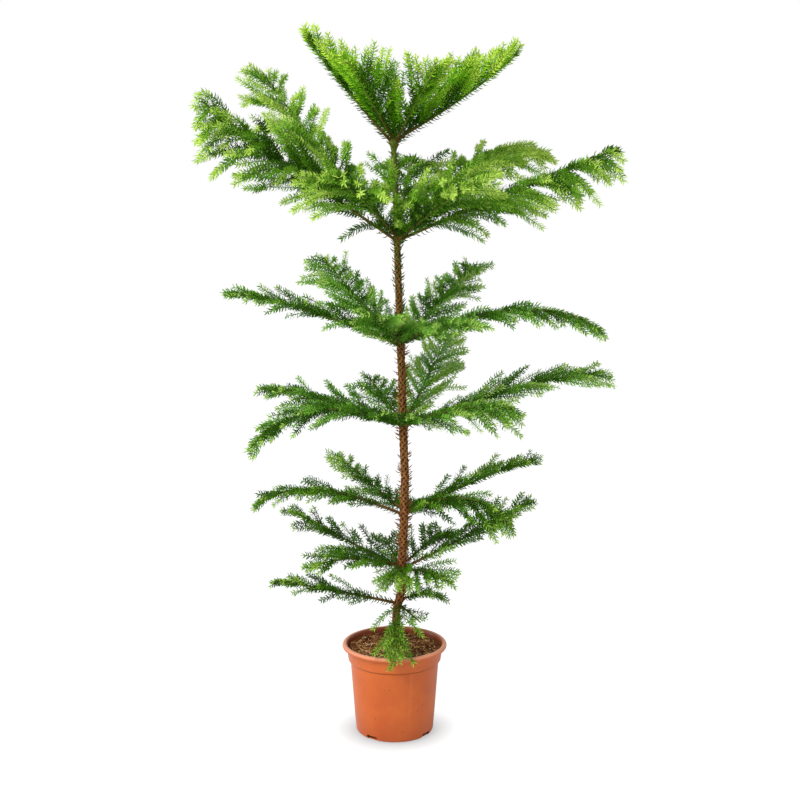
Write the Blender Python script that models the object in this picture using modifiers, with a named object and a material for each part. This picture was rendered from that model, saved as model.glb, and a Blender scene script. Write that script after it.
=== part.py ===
"""Potted Norfolk Island pine: a young tree in a nursery pot, one object per sub-part.

Metres, +Z up. The origin is the middle of the pot's flat underside.

The trunk stands whole from the soil to its tip bud, and carries seven tiers of branches. A branch is
a mass of needle sprays on one stem; the longer branches start as a bare bough, and their mass
begins where the bough ends. Every curve, twig and spray is worked out from the sizes below.
"""

import math
import random
from dataclasses import dataclass

import bmesh
import bpy
import numpy as np
from mathutils import Vector

UP = Vector((0.0, 0.0, 1.0))

# ---------------------------------------------------------------- pot and soil
POT_SIDES = 36
POT_WALL = 0.0025
FLOOR_THICKNESS = 0.006
FOOT_RADIUS = 0.0815
FOOT_CORNER = 0.008
WALL_FOOT_RADIUS = 0.0895
WALL_TOP_RADIUS = 0.1018
COLLAR_FOOT_RADIUS = 0.1068
COLLAR_TOP_RADIUS = 0.1100
COLLAR_FOOT_HEIGHT = 0.171
COLLAR_STEP = 0.004
LIP_RING_RADIUS = 0.1145
LIP_BEAD_RADIUS = 0.0058
LIP_HEIGHT = 0.2042
POT_HEIGHT = LIP_HEIGHT + LIP_BEAD_RADIUS

DRAIN_NOTCHES = 4
DRAIN_FIRST_ANGLE = 53.0
DRAIN_WIDTH = 0.024
DRAIN_HEIGHT = 0.0095
DRAIN_DEPTH = 0.012

SOIL_EDGE_HEIGHT = 0.1985
SOIL_MIDDLE_HEIGHT = 0.2005
SOIL_MIDDLE_RADIUS = 0.035

# ---------------------------------------------------------------- how the plant is put together
SEAT_GAP = 0.0003
SPRAY_CLEARANCE = 0.0012
SPRAY_HEIGHT = 0.0045
POT_CLEARANCE = 0.0095
AXIS_SAMPLES = 28
STAGGER = 0.004
ROOT_STEP = 0.0001
ROOT_LOOKAHEAD = 0.006
DIRECTION_STEP = 0.004

TRUNK_RESOLUTION = 3
BOUGH_RESOLUTION = 1
BOUGH_POINTS = 3

BOUGH_ROOT_RADIUS = 0.0036
BOUGH_TIP_RADIUS = 0.0028
STEM_ROOT_RADIUS = 0.0026
STEM_TIP_RADIUS = 0.0014
STEM_END = 0.93
LAST_TWIG = 0.87
RANK_OFFSET = 0.18

ROOT_TWIG_SHARE = 0.50
ROOT_TWIG_GROWTH = 2.2
TIP_TWIG_SHARE = 0.58
LONGEST_TWIG_PLACE = 0.35
TWIG_SPREAD = 52.0
TWIG_FORWARD_BEND = 0.28
TWIG_SHORTEST = 0.016
SHORTEN = 0.8
TWIG_JITTER = 0.16
LIFT_JITTER = 14.0
DROOP_JITTER = 0.6
SPRAY_ROLL = 42.0
TIP_SPRAY_START = 0.80
BLUNT_END = 0.96
TOOTH_PITCH = 0.038
MOST_TEETH = 3
TOOTH_SWEEP = 0.30
WIDEST_SHARE = 0.30
LAST_TOOTH_SHARE = 0.82
CORE_SHARE = 0.34
ROOT_SHARE = 0.60
TOOTH_RIDGE = 0.48
CORE_RIDGE = 0.39


@dataclass(frozen=True)
class Tier:
    """One whorl of branches and how its sprays look."""

    name: str
    height: float
    twig: float
    spacing: float
    half_width: float
    lift: float
    droop: float


@dataclass(frozen=True)
class Branch:
    """One branch: where it points, how far it reaches and how it climbs and nods."""

    side: str
    azimuth: float
    reach: float
    climb: float
    nod: float = 0.0
    bough: float = 0.0
    twig: float = 1.0
    blunt: bool = False


# Trunk: height of each ring, how far its middle leans towards +X, and its radius.
TRUNK_RINGS = (
    (0.204, 0.0035, 0.0100),
    (0.240, 0.0030, 0.0090),
    (0.285, 0.0040, 0.0088),
    (0.312, 0.0110, 0.0098),
    (0.345, 0.0185, 0.0093),
    (0.388, 0.0160, 0.0096),
    (0.430, 0.0190, 0.0091),
    (0.515, 0.0222, 0.0096),
    (0.600, 0.0238, 0.0088),
    (0.719, 0.0190, 0.0094),
    (0.810, 0.0172, 0.0082),
    (0.903, 0.0140, 0.0088),
    (1.010, 0.0100, 0.0074),
    (1.118, 0.0064, 0.0070),
    (1.135, 0.0060, 0.0090),
    (1.160, 0.0050, 0.0066),
    (1.250, 0.0015, 0.0058),
    (1.328, -0.0008, 0.0060),
    (1.344, -0.0010, 0.0102),
    (1.356, -0.0010, 0.0060),
    (1.368, -0.0010, 0.0022),
)
FLARE_RADIUS = 0.0122
FLARE_HEIGHT = 0.006

TIERS = {
    Tier("t1", 1.344, twig=0.085, spacing=0.076, half_width=0.0220, lift=34.0, droop=0.05): (
        Branch("left", 186, 0.200, 0.225, nod=-0.012, bough=0.16),
        Branch("front_left", 236, 0.175, 0.165),
        Branch("front_right", 303, 0.160, 0.155),
        Branch("right", 4, 0.280, 0.165, nod=-0.032, bough=0.16),
        Branch("right_upper", 42, 0.250, 0.195, bough=0.16),
        Branch("back", 115, 0.180, 0.165),
    ),
    Tier("t2", 1.135, twig=0.150, spacing=0.096, half_width=0.0260, lift=10.0, droop=0.50): (
        Branch("left", 194, 0.435, 0.290, nod=-0.015, bough=0.17),
        Branch("left_back", 140, 0.420, 0.345, nod=-0.040, bough=0.17),
        Branch("back", 80, 0.230, 0.260, nod=0.070, bough=0.30, blunt=True),
        Branch("back_right", 42, 0.460, 0.360, nod=0.175),
        Branch("right", 359, 0.490, 0.215, nod=0.010, bough=0.17),
        Branch("front_left", 245, 0.300, 0.155, nod=0.030),
        Branch("front_right", 305, 0.290, 0.150, nod=0.025),
    ),
    Tier("t3", 0.903, twig=0.092, spacing=0.088, half_width=0.0205, lift=14.0, droop=0.34): (
        Branch("left", 186, 0.390, 0.165, nod=0.045, bough=0.15),
        Branch("left_back", 125, 0.330, 0.160, nod=-0.020),
        Branch("back_right", 60, 0.370, 0.185, nod=0.020),
        Branch("right", 349, 0.455, 0.185, nod=0.157, bough=0.13),
        Branch("front_left", 257, 0.220, 0.090),
        Branch("front_right", 303, 0.270, 0.090, nod=0.035),
    ),
    Tier("t4", 0.719, twig=0.098, spacing=0.094, half_width=0.0200, lift=10.0, droop=0.24): (
        Branch("left_back", 160, 0.350, 0.110, nod=0.040),
        Branch("left", 200, 0.360, 0.120, nod=0.160, bough=0.15),
        Branch("back", 70, 0.350, 0.185, nod=0.005),
        Branch("back_left", 112, 0.220, 0.080),
        Branch("right", 10, 0.475, 0.160, nod=0.048, bough=0.13),
        Branch("front_right", 332, 0.280, 0.095, nod=0.040),
        Branch("front", 262, 0.110, 0.045),
    ),
    Tier("t5", 0.515, twig=0.080, spacing=0.082, half_width=0.0165, lift=14.0, droop=0.16): (
        Branch("left", 190, 0.342, 0.150, nod=0.110, bough=0.15),
        Branch("left_back", 130, 0.262, 0.095),
        Branch("right", 20, 0.336, 0.135, nod=0.030, bough=0.15),
        Branch("front_right", 331, 0.276, 0.128, nod=0.138),
        Branch("back", 75, 0.160, 0.020, nod=0.030),
    ),
    Tier("t6", 0.388, twig=0.080, spacing=0.090, half_width=0.0160, lift=18.0, droop=0.14): (
        Branch("left", 158, 0.292, 0.116),
        Branch("left_front", 203, 0.228, 0.070, nod=0.055),
        Branch("right", 16, 0.320, 0.130, nod=-0.010, bough=0.15),
        Branch("back_right", 52, 0.160, 0.050),
        Branch("front_right", 312, 0.150, 0.025, nod=0.020),
        Branch("front", 256, 0.095, -0.005, nod=0.015),
        Branch("back_left", 108, 0.130, 0.045),
    ),
    Tier("t7", 0.306, twig=0.062, spacing=0.066, half_width=0.0150, lift=12.0, droop=0.14): (
        Branch("left", 187, 0.288, 0.072, nod=0.008, bough=0.18),
        Branch("right", 4, 0.108, 0.036, nod=0.040, twig=0.55),
        Branch("front_right", 312, 0.078, -0.028, twig=0.6),
        Branch("front", 266, 0.142, -0.045, nod=0.070, twig=1.15),
    ),
}

COLLECTION_NAME = "potted_norfolk_island_pine"
CUTTER_COLLECTION_NAME = "cutters"

TERRACOTTA = (0.560, 0.150, 0.050, 1.0)
SOIL_BROWN = (0.075, 0.040, 0.022, 1.0)
BARK_BROWN = (0.170, 0.075, 0.035, 1.0)
BOUGH_BROWN = (0.120, 0.105, 0.030, 1.0)
NEEDLE_GREENS = {
    "t1": (0.130, 0.330, 0.040, 1.0),
    "t2": (0.100, 0.270, 0.055, 1.0),
    "t3": (0.075, 0.220, 0.045, 1.0),
    "t4": (0.065, 0.190, 0.050, 1.0),
    "t5": (0.055, 0.165, 0.045, 1.0),
    "t6": (0.055, 0.160, 0.050, 1.0),
    "t7": (0.060, 0.170, 0.050, 1.0),
}


# ---------------------------------------------------------------- scene helpers
def clear_scene():
    """Removes whatever objects the file opened with."""
    for obj in list(bpy.data.objects):
        bpy.data.objects.remove(obj, do_unlink=True)


def new_collection(name):
    """Makes a collection in the scene."""
    collection = bpy.data.collections.new(name)
    bpy.context.scene.collection.children.link(collection)
    return collection


def new_material(name, colour, roughness):
    """Makes a plain Principled material."""
    material = bpy.data.materials.new(name)
    material.use_nodes = True
    shader = material.node_tree.nodes["Principled BSDF"]
    shader.inputs["Base Color"].default_value = colour
    shader.inputs["Roughness"].default_value = roughness
    shader.inputs["Metallic"].default_value = 0.0
    material.diffuse_color = colour
    return material


def object_from_bmesh(name, bm, collection):
    """Turns a bmesh into an object in a collection."""
    mesh = bpy.data.meshes.new(name)
    bm.to_mesh(mesh)
    bm.free()
    obj = bpy.data.objects.new(name, mesh)
    collection.objects.link(obj)
    return obj


def shade_smooth(obj):
    """Rounds the shading of an object's faces."""
    for polygon in obj.data.polygons:
        polygon.use_smooth = True


def tapered_limb(name, points, radii, resolution, collection):
    """Makes one tapering limb: a round tube along the points, closed by flat caps."""
    curve = bpy.data.curves.new(name, "CURVE")
    curve.dimensions = "3D"
    curve.bevel_depth = 1.0
    curve.bevel_resolution = resolution
    curve.use_fill_caps = True
    spline = curve.splines.new("POLY")
    spline.points.add(len(points) - 1)
    for spline_point, point, radius in zip(spline.points, points, radii):
        spline_point.co = (*point, 1.0)
        spline_point.radius = radius
    spline.use_smooth = True
    limb = bpy.data.objects.new(name, curve)
    collection.objects.link(limb)
    return limb


# ---------------------------------------------------------------- pot and soil
def arc_points(centre_radius, centre_height, radius, start, stop, count):
    """Points of an arc in the turning plane, angles in degrees from outwards."""
    angles = (math.radians(start + (stop - start) * i / (count - 1)) for i in range(count))
    return [(centre_radius + radius * math.cos(a), centre_height + radius * math.sin(a)) for a in angles]


def turned_solid(name, profile, collection):
    """Turns a closed profile of (radius, height) points into a solid of revolution."""
    bm = bmesh.new()
    verts = [bm.verts.new((radius, 0.0, height)) for radius, height in profile]
    for start, end in zip(verts, verts[1:]):
        bm.edges.new((start, end))
    obj = object_from_bmesh(name, bm, collection)
    screw = obj.modifiers.new("turn", "SCREW")
    screw.axis = "Z"
    screw.angle = math.tau
    screw.steps = POT_SIDES
    screw.render_steps = POT_SIDES
    screw.use_merge_vertices = True
    screw.merge_threshold = 0.00001
    screw.use_smooth_shade = True
    return obj


def wall_radius(height):
    """Outer radius of the pot's tapering wall at a height."""
    share = height / COLLAR_FOOT_HEIGHT
    return WALL_FOOT_RADIUS + (WALL_TOP_RADIUS - WALL_FOOT_RADIUS) * share


def make_pot(collection, cutters):
    """The pot: tapering wall, stepped collar, rolled lip and drain notches round its foot."""
    lip_foot = LIP_HEIGHT - LIP_BEAD_RADIUS
    outside = arc_points(LIP_RING_RADIUS, LIP_HEIGHT, LIP_BEAD_RADIUS, 90.0, -90.0, 6)
    outside += [
        (COLLAR_TOP_RADIUS, lip_foot - 0.0012),
        (COLLAR_FOOT_RADIUS, COLLAR_FOOT_HEIGHT),
        (wall_radius(COLLAR_FOOT_HEIGHT), COLLAR_FOOT_HEIGHT - COLLAR_STEP),
    ]
    outside += arc_points(FOOT_RADIUS, FOOT_CORNER, FOOT_CORNER, 0.0, -90.0, 3)
    inside = [
        (wall_radius(FLOOR_THICKNESS) - POT_WALL, FLOOR_THICKNESS),
        (wall_radius(COLLAR_FOOT_HEIGHT) - POT_WALL, COLLAR_FOOT_HEIGHT - COLLAR_STEP + POT_WALL),
        (COLLAR_FOOT_RADIUS - POT_WALL, COLLAR_FOOT_HEIGHT + POT_WALL),
        (COLLAR_TOP_RADIUS - POT_WALL, lip_foot),
    ]
    inside += arc_points(LIP_RING_RADIUS, LIP_HEIGHT, LIP_BEAD_RADIUS, 195.0, 90.0, 4)
    profile = outside + [(0.0, 0.0), (0.0, FLOOR_THICKNESS)] + inside
    pot = turned_solid("pot", profile, collection)
    for index in range(DRAIN_NOTCHES):
        angle = math.radians(DRAIN_FIRST_ANGLE + index * 360.0 / DRAIN_NOTCHES)
        bpy.ops.mesh.primitive_cube_add(size=1.0)
        cutter = bpy.context.active_object
        cutter.name = f"drain_cutter_{index}"
        cutter.scale = (DRAIN_DEPTH, DRAIN_WIDTH, 2.0 * DRAIN_HEIGHT)
        cutter.rotation_euler = (0.0, 0.0, angle)
        cutter.location = (WALL_FOOT_RADIUS * math.cos(angle), WALL_FOOT_RADIUS * math.sin(angle), 0.0)
        for owner in cutter.users_collection:
            owner.objects.unlink(cutter)
        cutters.objects.link(cutter)
        cutter.hide_render = True
        cutter.display_type = "WIRE"
    cut = pot.modifiers.new("drain_notches", "BOOLEAN")
    cut.operation = "DIFFERENCE"
    cut.operand_type = "COLLECTION"
    cut.collection = cutters
    cut.solver = "EXACT"
    return pot


def make_soil(collection):
    """The soil that fills the pot, a little higher in the middle."""
    floor = FLOOR_THICKNESS + SEAT_GAP
    inner = POT_WALL + SEAT_GAP
    edge = COLLAR_FOOT_HEIGHT + POT_WALL
    profile = [
        (0.0, SOIL_MIDDLE_HEIGHT),
        (SOIL_MIDDLE_RADIUS, SOIL_MIDDLE_HEIGHT),
        (COLLAR_TOP_RADIUS - inner - SEAT_GAP, SOIL_EDGE_HEIGHT),
        (COLLAR_FOOT_RADIUS - inner, edge),
        (wall_radius(COLLAR_FOOT_HEIGHT) - inner, edge - COLLAR_STEP),
        (wall_radius(floor) - inner, floor),
        (0.0, floor),
    ]
    return turned_solid("soil", profile, collection)


# ---------------------------------------------------------------- trunk
def trunk_middle(height):
    """Middle of the trunk at a height."""
    heights = [ring[0] for ring in TRUNK_RINGS]
    leans = [ring[1] for ring in TRUNK_RINGS]
    return Vector((float(np.interp(height, heights, leans)), 0.0, height))


def trunk_gaps(points):
    """Distance of each point from the trunk's bark, negative inside it."""
    middles = np.array([(lean, 0.0, height) for height, lean, _ in TRUNK_RINGS])
    radii = np.array([ring[2] for ring in TRUNK_RINGS])
    spans = middles[1:] - middles[:-1]
    offsets = points[:, None, :] - middles[None, :-1, :]
    shares = np.clip((offsets * spans).sum(axis=2) / (spans**2).sum(axis=1), 0.0, 1.0)
    distances = np.linalg.norm(offsets - shares[:, :, None] * spans, axis=2)
    return (distances - radii[:-1] - shares * (radii[1:] - radii[:-1])).min(axis=1)


def make_trunk(collection):
    """The whole trunk, from its flat cut on the soil, through its root flare, to the tip bud."""
    cut_height = SOIL_MIDDLE_HEIGHT + SEAT_GAP
    lean = TRUNK_RINGS[0][1]
    points = [Vector((lean, 0.0, cut_height)), Vector((lean, 0.0, cut_height + FLARE_HEIGHT / 3))]
    radii = [FLARE_RADIUS, 0.5 * (FLARE_RADIUS + TRUNK_RINGS[0][2])]
    for height, ring_lean, radius in TRUNK_RINGS[1:]:
        points.append(Vector((ring_lean, 0.0, height)))
        radii.append(radius)
    points.insert(2, Vector((lean, 0.0, cut_height + FLARE_HEIGHT)))
    radii.insert(2, TRUNK_RINGS[0][2])
    return tapered_limb("trunk", points, radii, TRUNK_RESOLUTION, collection)


# ---------------------------------------------------------------- branches
class Axis:
    """The middle line of a branch, from the middle of the trunk to the branch's tip."""

    def __init__(self, tier, branch, index):
        self.tier = tier
        self.branch = branch
        self.label = f"{tier.name}_{branch.side}"
        stagger = STAGGER if index % 2 else -STAGGER
        self.root = trunk_middle(tier.height + stagger)
        angle = math.radians(branch.azimuth)
        self.outward = Vector((math.cos(angle), math.sin(angle), 0.0))
        self.across = Vector((-math.sin(angle), math.cos(angle), 0.0))
        self.samples = np.array([self.point(i / (AXIS_SAMPLES - 1)) for i in range(AXIS_SAMPLES)])

    def point(self, share):
        """Point of the middle line at a share of the reach."""
        rise = self.branch.climb * share - self.branch.nod * share**3
        return self.root + self.outward * (self.branch.reach * share) + UP * rise

    def direction(self, share):
        """Unit direction of the middle line."""
        ahead, behind = share + DIRECTION_STEP, share - DIRECTION_STEP
        return (self.point(ahead) - self.point(behind)).normalized()

    def length(self):
        """Length of the middle line."""
        return float(np.linalg.norm(np.diff(self.samples, axis=0), axis=1).sum())

    def root_share(self, radius, below):
        """Share of the reach at which a limb that goes this far up, aside and below is clear of the trunk."""
        share = 0.0
        gap = -1.0
        while gap < SEAT_GAP:
            share += ROOT_STEP / self.branch.reach
            up = self.direction(share).cross(self.across)
            up *= math.copysign(1.0, up.z)
            root, ahead = (self.point(share + step / self.branch.reach) for step in (0.0, ROOT_LOOKAHEAD))
            rim = [root + up * radius, root - up * below, root + self.across * radius]
            rim += [root - self.across * radius, ahead + up * radius, ahead - up * below]
            gap = trunk_gaps(np.array(rim)).min()
        return share


def lay_out_branches():
    """The middle line of every branch, in tier order."""
    return [Axis(tier, branch, i) for tier, row in TIERS.items() for i, branch in enumerate(row)]


def nearest(samples, points):
    """For each point, its distance to the nearest sample."""
    gaps = points[:, None, :] - samples[None, :, :]
    return np.sqrt((gaps**2).sum(axis=2)).min(axis=1)


def clear_of_pot(points):
    """Whether every point is above the soil and the lip, or well outside the pot."""
    radii = np.hypot(points[:, 0], points[:, 1])
    floor = np.where(radii < LIP_RING_RADIUS - POT_CLEARANCE, SOIL_MIDDLE_HEIGHT, POT_HEIGHT)
    above = points[:, 2] > floor + SPRAY_HEIGHT
    return bool(np.all(above | (radii > LIP_RING_RADIUS + POT_CLEARANCE)))


def keeps_to_its_space(axis, axes, points, half_width):
    """Whether a spray along these points stays in its branch's own space, clear of every limb."""
    own = nearest(axis.samples, points)
    reach = 2.0 * half_width + SPRAY_CLEARANCE
    for other in axes:
        if other is not axis and np.any(nearest(other.samples, points) < own + reach):
            return False
    if trunk_gaps(points).min() < half_width + SPRAY_CLEARANCE:
        return False
    return clear_of_pot(points)


# ---------------------------------------------------------------- needle sprays
def skin(bm, rings):
    """Lofts a closed skin over three-point rings, ending in a point where the last ring is one point."""
    loops = [[bm.verts.new(point) for point in ring] for ring in rings]
    for lower, upper in zip(loops, loops[1:]):
        for i in range(3):
            j = (i + 1) % 3
            if len(upper) == 1:
                bm.faces.new((lower[i], lower[j], upper[0]))
            else:
                bm.faces.new((lower[i], lower[j], upper[j], upper[i]))
    bm.faces.new(loops[0])
    if len(loops[-1]) == 3:
        bm.faces.new(loops[-1])
    bmesh.ops.recalc_face_normals(bm, faces=bm.faces)


def spray_ring(centre, along, up, half_width, ridge, sweep):
    """One section of a spray: two edges swept forward and a ridge over the middle."""
    width = up.cross(along).normalized()
    top = along.cross(width).normalized()
    edge = along * sweep
    return [centre + width * half_width + edge, centre - width * half_width + edge, centre + top * ridge]


def make_spray(name, points, up, half_width, collection):
    """A spray of needles: a toothed blade along the points, with a ridge and a pointed tip."""
    last = len(points) - 1
    core = half_width * CORE_SHARE
    rings = []
    for i, point in enumerate(points[:-1]):
        along = (points[min(i + 1, last)] - points[max(i - 1, 0)]).normalized()
        wide = i % 2 == 1
        reach = half_width * (1.0 if i < last - 2 else LAST_TOOTH_SHARE) if wide else core
        ridge = half_width * (TOOTH_RIDGE if wide else CORE_RIDGE)
        if i == 0:
            reach, ridge = ROOT_SHARE * core, ROOT_SHARE * ridge
        pitch = (points[1] - points[0]).length
        rings.append(spray_ring(point, along, up, reach, ridge, pitch * TOOTH_SWEEP if wide else 0.0))
    rings.append([points[-1]])
    bm = bmesh.new()
    skin(bm, rings)
    return object_from_bmesh(name, bm, collection)


def twig_points(root, start, forward, length, droop, count):
    """Middle line of a twig that leaves sideways, bends forward and droops."""
    points = []
    for i in range(count):
        share = i / (count - 1)
        bend = forward * (TWIG_FORWARD_BEND * length * share**2)
        fall = UP * (-droop * length * share**2)
        points.append(root + start * (length * share) + bend + fall)
    return points


def crown_profile(share):
    """Length of the twigs along a branch, as a share of its longest twig."""
    root_part = min(1.0, ROOT_TWIG_SHARE + ROOT_TWIG_GROWTH * share)
    tip_part = (1.0 - TIP_TWIG_SHARE) * max(0.0, share - LONGEST_TWIG_PLACE) / (1.0 - LONGEST_TWIG_PLACE)
    return root_part * (1.0 - tip_part)


def stem_point(axis, start, count, share):
    """Point on the straight stretch of the stem that passes a share of the reach."""
    step = (STEM_END - start) / count
    knot = min(count - 1, int((share - start) / step))
    lower, upper = (axis.point(start + step * i) for i in (knot, knot + 1))
    return lower.lerp(upper, (share - start) / step - knot)


def make_stem(axis, start, count, collection):
    """The mass's one stem: a three-sided tapering limb, bent a little at each pair of twigs."""
    rings = []
    for i in range(count + 1):
        place = i / count
        share = start + (STEM_END - start) * place
        radius = STEM_ROOT_RADIUS + (STEM_TIP_RADIUS - STEM_ROOT_RADIUS) * place
        rings.append(spray_ring(axis.point(share), axis.direction(share), UP, radius, radius, 0.0))
    bm = bmesh.new()
    skin(bm, rings)
    return object_from_bmesh(f"foliage_{axis.label}", bm, collection)


def grow_twigs(axis, axes, start, count, collection):
    """Grows the mass's sprays in two ranks along its stem, by a seeded rule."""
    rng = random.Random(axis.label)
    tier = axis.tier
    longest = tier.twig * axis.branch.twig
    spread = math.radians(TWIG_SPREAD)
    for index in range(count):
        for rank in (-1.0, 1.0):
            jitter = 1.0 + TWIG_JITTER * rng.uniform(-1.0, 1.0)
            lift = math.radians(tier.lift + LIFT_JITTER * rng.uniform(-1.0, 1.0))
            droop = tier.droop * (1.0 + DROOP_JITTER * rng.uniform(-1.0, 1.0))
            roll = math.radians(SPRAY_ROLL * rng.uniform(-1.0, 1.0))
            place = (index + 0.5 + RANK_OFFSET * rank) / count
            share = start + (LAST_TWIG - start) * place
            length = longest * crown_profile(place) * jitter
            along = axis.direction(share)
            up = axis.across.cross(along).normalized()
            if up.z < 0.0:
                up = -up
            aside = axis.across * (rank * math.cos(lift)) + up * math.sin(lift)
            leave = along * math.cos(spread) + aside * math.sin(spread)
            face = up * math.cos(lift) - axis.across * (rank * math.sin(lift))
            face = (face * math.cos(roll) + leave.cross(face).normalized() * math.sin(roll)).normalized()
            root = stem_point(axis, start, count, share)
            while length > TWIG_SHORTEST:
                teeth = max(2, min(MOST_TEETH, round(length / TOOTH_PITCH)))
                points = twig_points(root, leave, along, length, droop, 2 * teeth + 1)
                half_width = min(tier.half_width, WIDEST_SHARE * length)
                if keeps_to_its_space(axis, axes, np.array(points[1:]), half_width):
                    make_spray("spray", points, face, half_width, collection)
                    break
                length *= SHORTEN


def grow_tip(axis, collection):
    """The spray at the end of a branch, which reaches its furthest tip."""
    end = BLUNT_END if axis.branch.blunt else 1.0
    steps = 2 * MOST_TEETH
    points = [axis.point(TIP_SPRAY_START + (end - TIP_SPRAY_START) * i / steps) for i in range(steps + 1)]
    make_spray("spray", points, UP, axis.tier.half_width, collection)


def keep_one_body(obj):
    """Keeps the outer skin of the largest piece, so loose scraps and sealed hollows go."""
    bm = bmesh.new()
    bm.from_mesh(obj.data)
    bmesh.ops.triangulate(bm, faces=bm.faces)
    left = set(bm.faces)
    pieces = []
    while left:
        piece = [left.pop()]
        for face in piece:
            seams = [edge for edge in face.edges if len(edge.link_faces) == 2]
            beside = {other for edge in seams for other in edge.link_faces if other in left}
            piece.extend(beside)
            left -= beside
        pieces.append(piece)
    pieces.sort(key=len, reverse=True)
    extra = [face for piece in pieces[1:] for face in piece]
    bmesh.ops.delete(bm, geom=extra, context="FACES")
    bm.to_mesh(obj.data)
    bm.free()


def make_mass(axis, axes, collection, sprays):
    """One mass of needles: its stem and sprays joined into one solid by a Boolean union."""
    if axis.branch.bough:
        start = axis.branch.bough + SEAT_GAP / axis.length()
    else:
        start = axis.root_share(STEM_ROOT_RADIUS, 0.0)
    count = max(2, round(axis.length() * (STEM_END - start) / axis.tier.spacing))
    mass = make_stem(axis, start, count, collection)
    grow_twigs(axis, axes, start, count, sprays)
    grow_tip(axis, sprays)
    union = mass.modifiers.new("join_sprays", "BOOLEAN")
    union.operation = "UNION"
    union.operand_type = "COLLECTION"
    union.collection = sprays
    union.solver = "MANIFOLD"
    graph = bpy.context.evaluated_depsgraph_get()
    joined = bpy.data.meshes.new_from_object(mass.evaluated_get(graph))
    mass.modifiers.clear()
    mass.data = joined
    for spray in list(sprays.objects):
        bpy.data.objects.remove(spray, do_unlink=True)
    keep_one_body(mass)
    return mass


def make_bough(axis, collection):
    """The bare first stretch of a long branch: one tapering limb, 0.3 mm clear of the trunk."""
    start = axis.root_share(BOUGH_ROOT_RADIUS, BOUGH_ROOT_RADIUS)
    end = axis.branch.bough
    points, radii = [], []
    for i in range(BOUGH_POINTS):
        place = i / (BOUGH_POINTS - 1)
        points.append(axis.point(start + (end - start) * place))
        radii.append(BOUGH_ROOT_RADIUS + (BOUGH_TIP_RADIUS - BOUGH_ROOT_RADIUS) * place)
    return tapered_limb(f"bough_{axis.label}", points, radii, BOUGH_RESOLUTION, collection)


def main():
    """Builds the pot, the soil, the trunk and every branch."""
    clear_scene()
    plant = new_collection(COLLECTION_NAME)
    cutters = new_collection(CUTTER_COLLECTION_NAME)
    sprays = new_collection("loose_sprays")
    bark = new_material("bark", BARK_BROWN, 0.85)
    limb_bark = new_material("bough_bark", BOUGH_BROWN, 0.80)
    needles = {name: new_material(f"needles_{name}", colour, 0.60) for name, colour in NEEDLE_GREENS.items()}

    make_pot(plant, cutters).data.materials.append(new_material("terracotta_plastic", TERRACOTTA, 0.55))
    make_soil(plant).data.materials.append(new_material("potting_soil", SOIL_BROWN, 0.95))
    make_trunk(plant).data.materials.append(bark)
    axes = lay_out_branches()
    for axis in axes:
        if axis.branch.bough:
            make_bough(axis, plant).data.materials.append(limb_bark)
        mass = make_mass(axis, axes, plant, sprays)
        mass.data.materials.clear()
        mass.data.materials.append(needles[axis.tier.name])
    bpy.data.collections.remove(sprays)


main()
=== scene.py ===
"""Looks of the potted Norfolk Island pine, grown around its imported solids.

Metres, +Z up. The origin is the middle of the pot's flat underside.

The limbs and the coarse twigs follow the seeded rule of the solids. The finer twigs between them follow
it too, most branches with a habit of their own. The trunk and the limbs get bark with relief, and the
pot and its potting mix get the detail of the real ones.
"""

import sys
import logging
import math
import random
from collections.abc import Iterable, Sequence
from dataclasses import dataclass, field, replace
from enum import Enum

import bmesh
import bpy
import numpy as np
from mathutils import Matrix, Vector, noise


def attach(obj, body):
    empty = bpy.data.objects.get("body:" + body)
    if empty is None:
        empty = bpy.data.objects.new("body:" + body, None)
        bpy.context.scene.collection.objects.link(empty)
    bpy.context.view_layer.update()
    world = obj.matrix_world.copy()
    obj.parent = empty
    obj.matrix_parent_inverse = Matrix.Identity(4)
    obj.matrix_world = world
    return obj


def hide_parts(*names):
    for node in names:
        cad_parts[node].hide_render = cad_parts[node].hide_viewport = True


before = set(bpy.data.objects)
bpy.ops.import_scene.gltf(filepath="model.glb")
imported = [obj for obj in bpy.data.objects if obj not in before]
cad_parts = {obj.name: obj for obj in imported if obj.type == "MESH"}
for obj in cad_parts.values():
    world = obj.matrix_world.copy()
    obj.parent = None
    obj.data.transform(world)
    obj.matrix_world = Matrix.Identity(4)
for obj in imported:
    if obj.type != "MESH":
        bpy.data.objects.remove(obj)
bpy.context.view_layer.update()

LOG = logging.getLogger("potted_tree")
Array = np.ndarray
Colour = tuple[float, float, float, float]
Pair = tuple[float, float]
Triple = tuple[float, float, float]
Socket = bpy.types.NodeSocket
UP = Vector((0.0, 0.0, 1.0))
GOLDEN_ANGLE = math.radians(137.508)
BODY = "root"


class Slot(Enum):
    """Material slots of the record."""

    POT = "pot"
    SOIL = "soil"
    TRUNK = "trunk"
    BOUGHS = "boughs"


class Tint(Enum):
    """Greens that a spray of needles may have, from old to young."""

    DEEP = "deep"
    MID = "mid"
    LIGHT = "light"
    TIP = "tip"


def paint(red: int, green: int, blue: int) -> Colour:
    """Turns a display colour into the linear one that a shader takes.

    Args:
        red: Red, 0 to 255.
        green: Green, 0 to 255.
        blue: Blue, 0 to 255.

    Returns:
        The linear colour with full alpha.
    """
    shares = [value / 255.0 for value in (red, green, blue)]
    linear = [s / 12.92 if s <= 0.04045 else ((s + 0.055) / 1.055) ** 2.4 for s in shares]
    return (linear[0], linear[1], linear[2], 1.0)


# ---- sizes shared with the solids
@dataclass(frozen=True)
class Tier:
    """One whorl of branches and how its sprays grow."""

    name: str
    height: float
    twig: float
    spacing: float
    half_width: float
    lift: float
    droop: float


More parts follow.
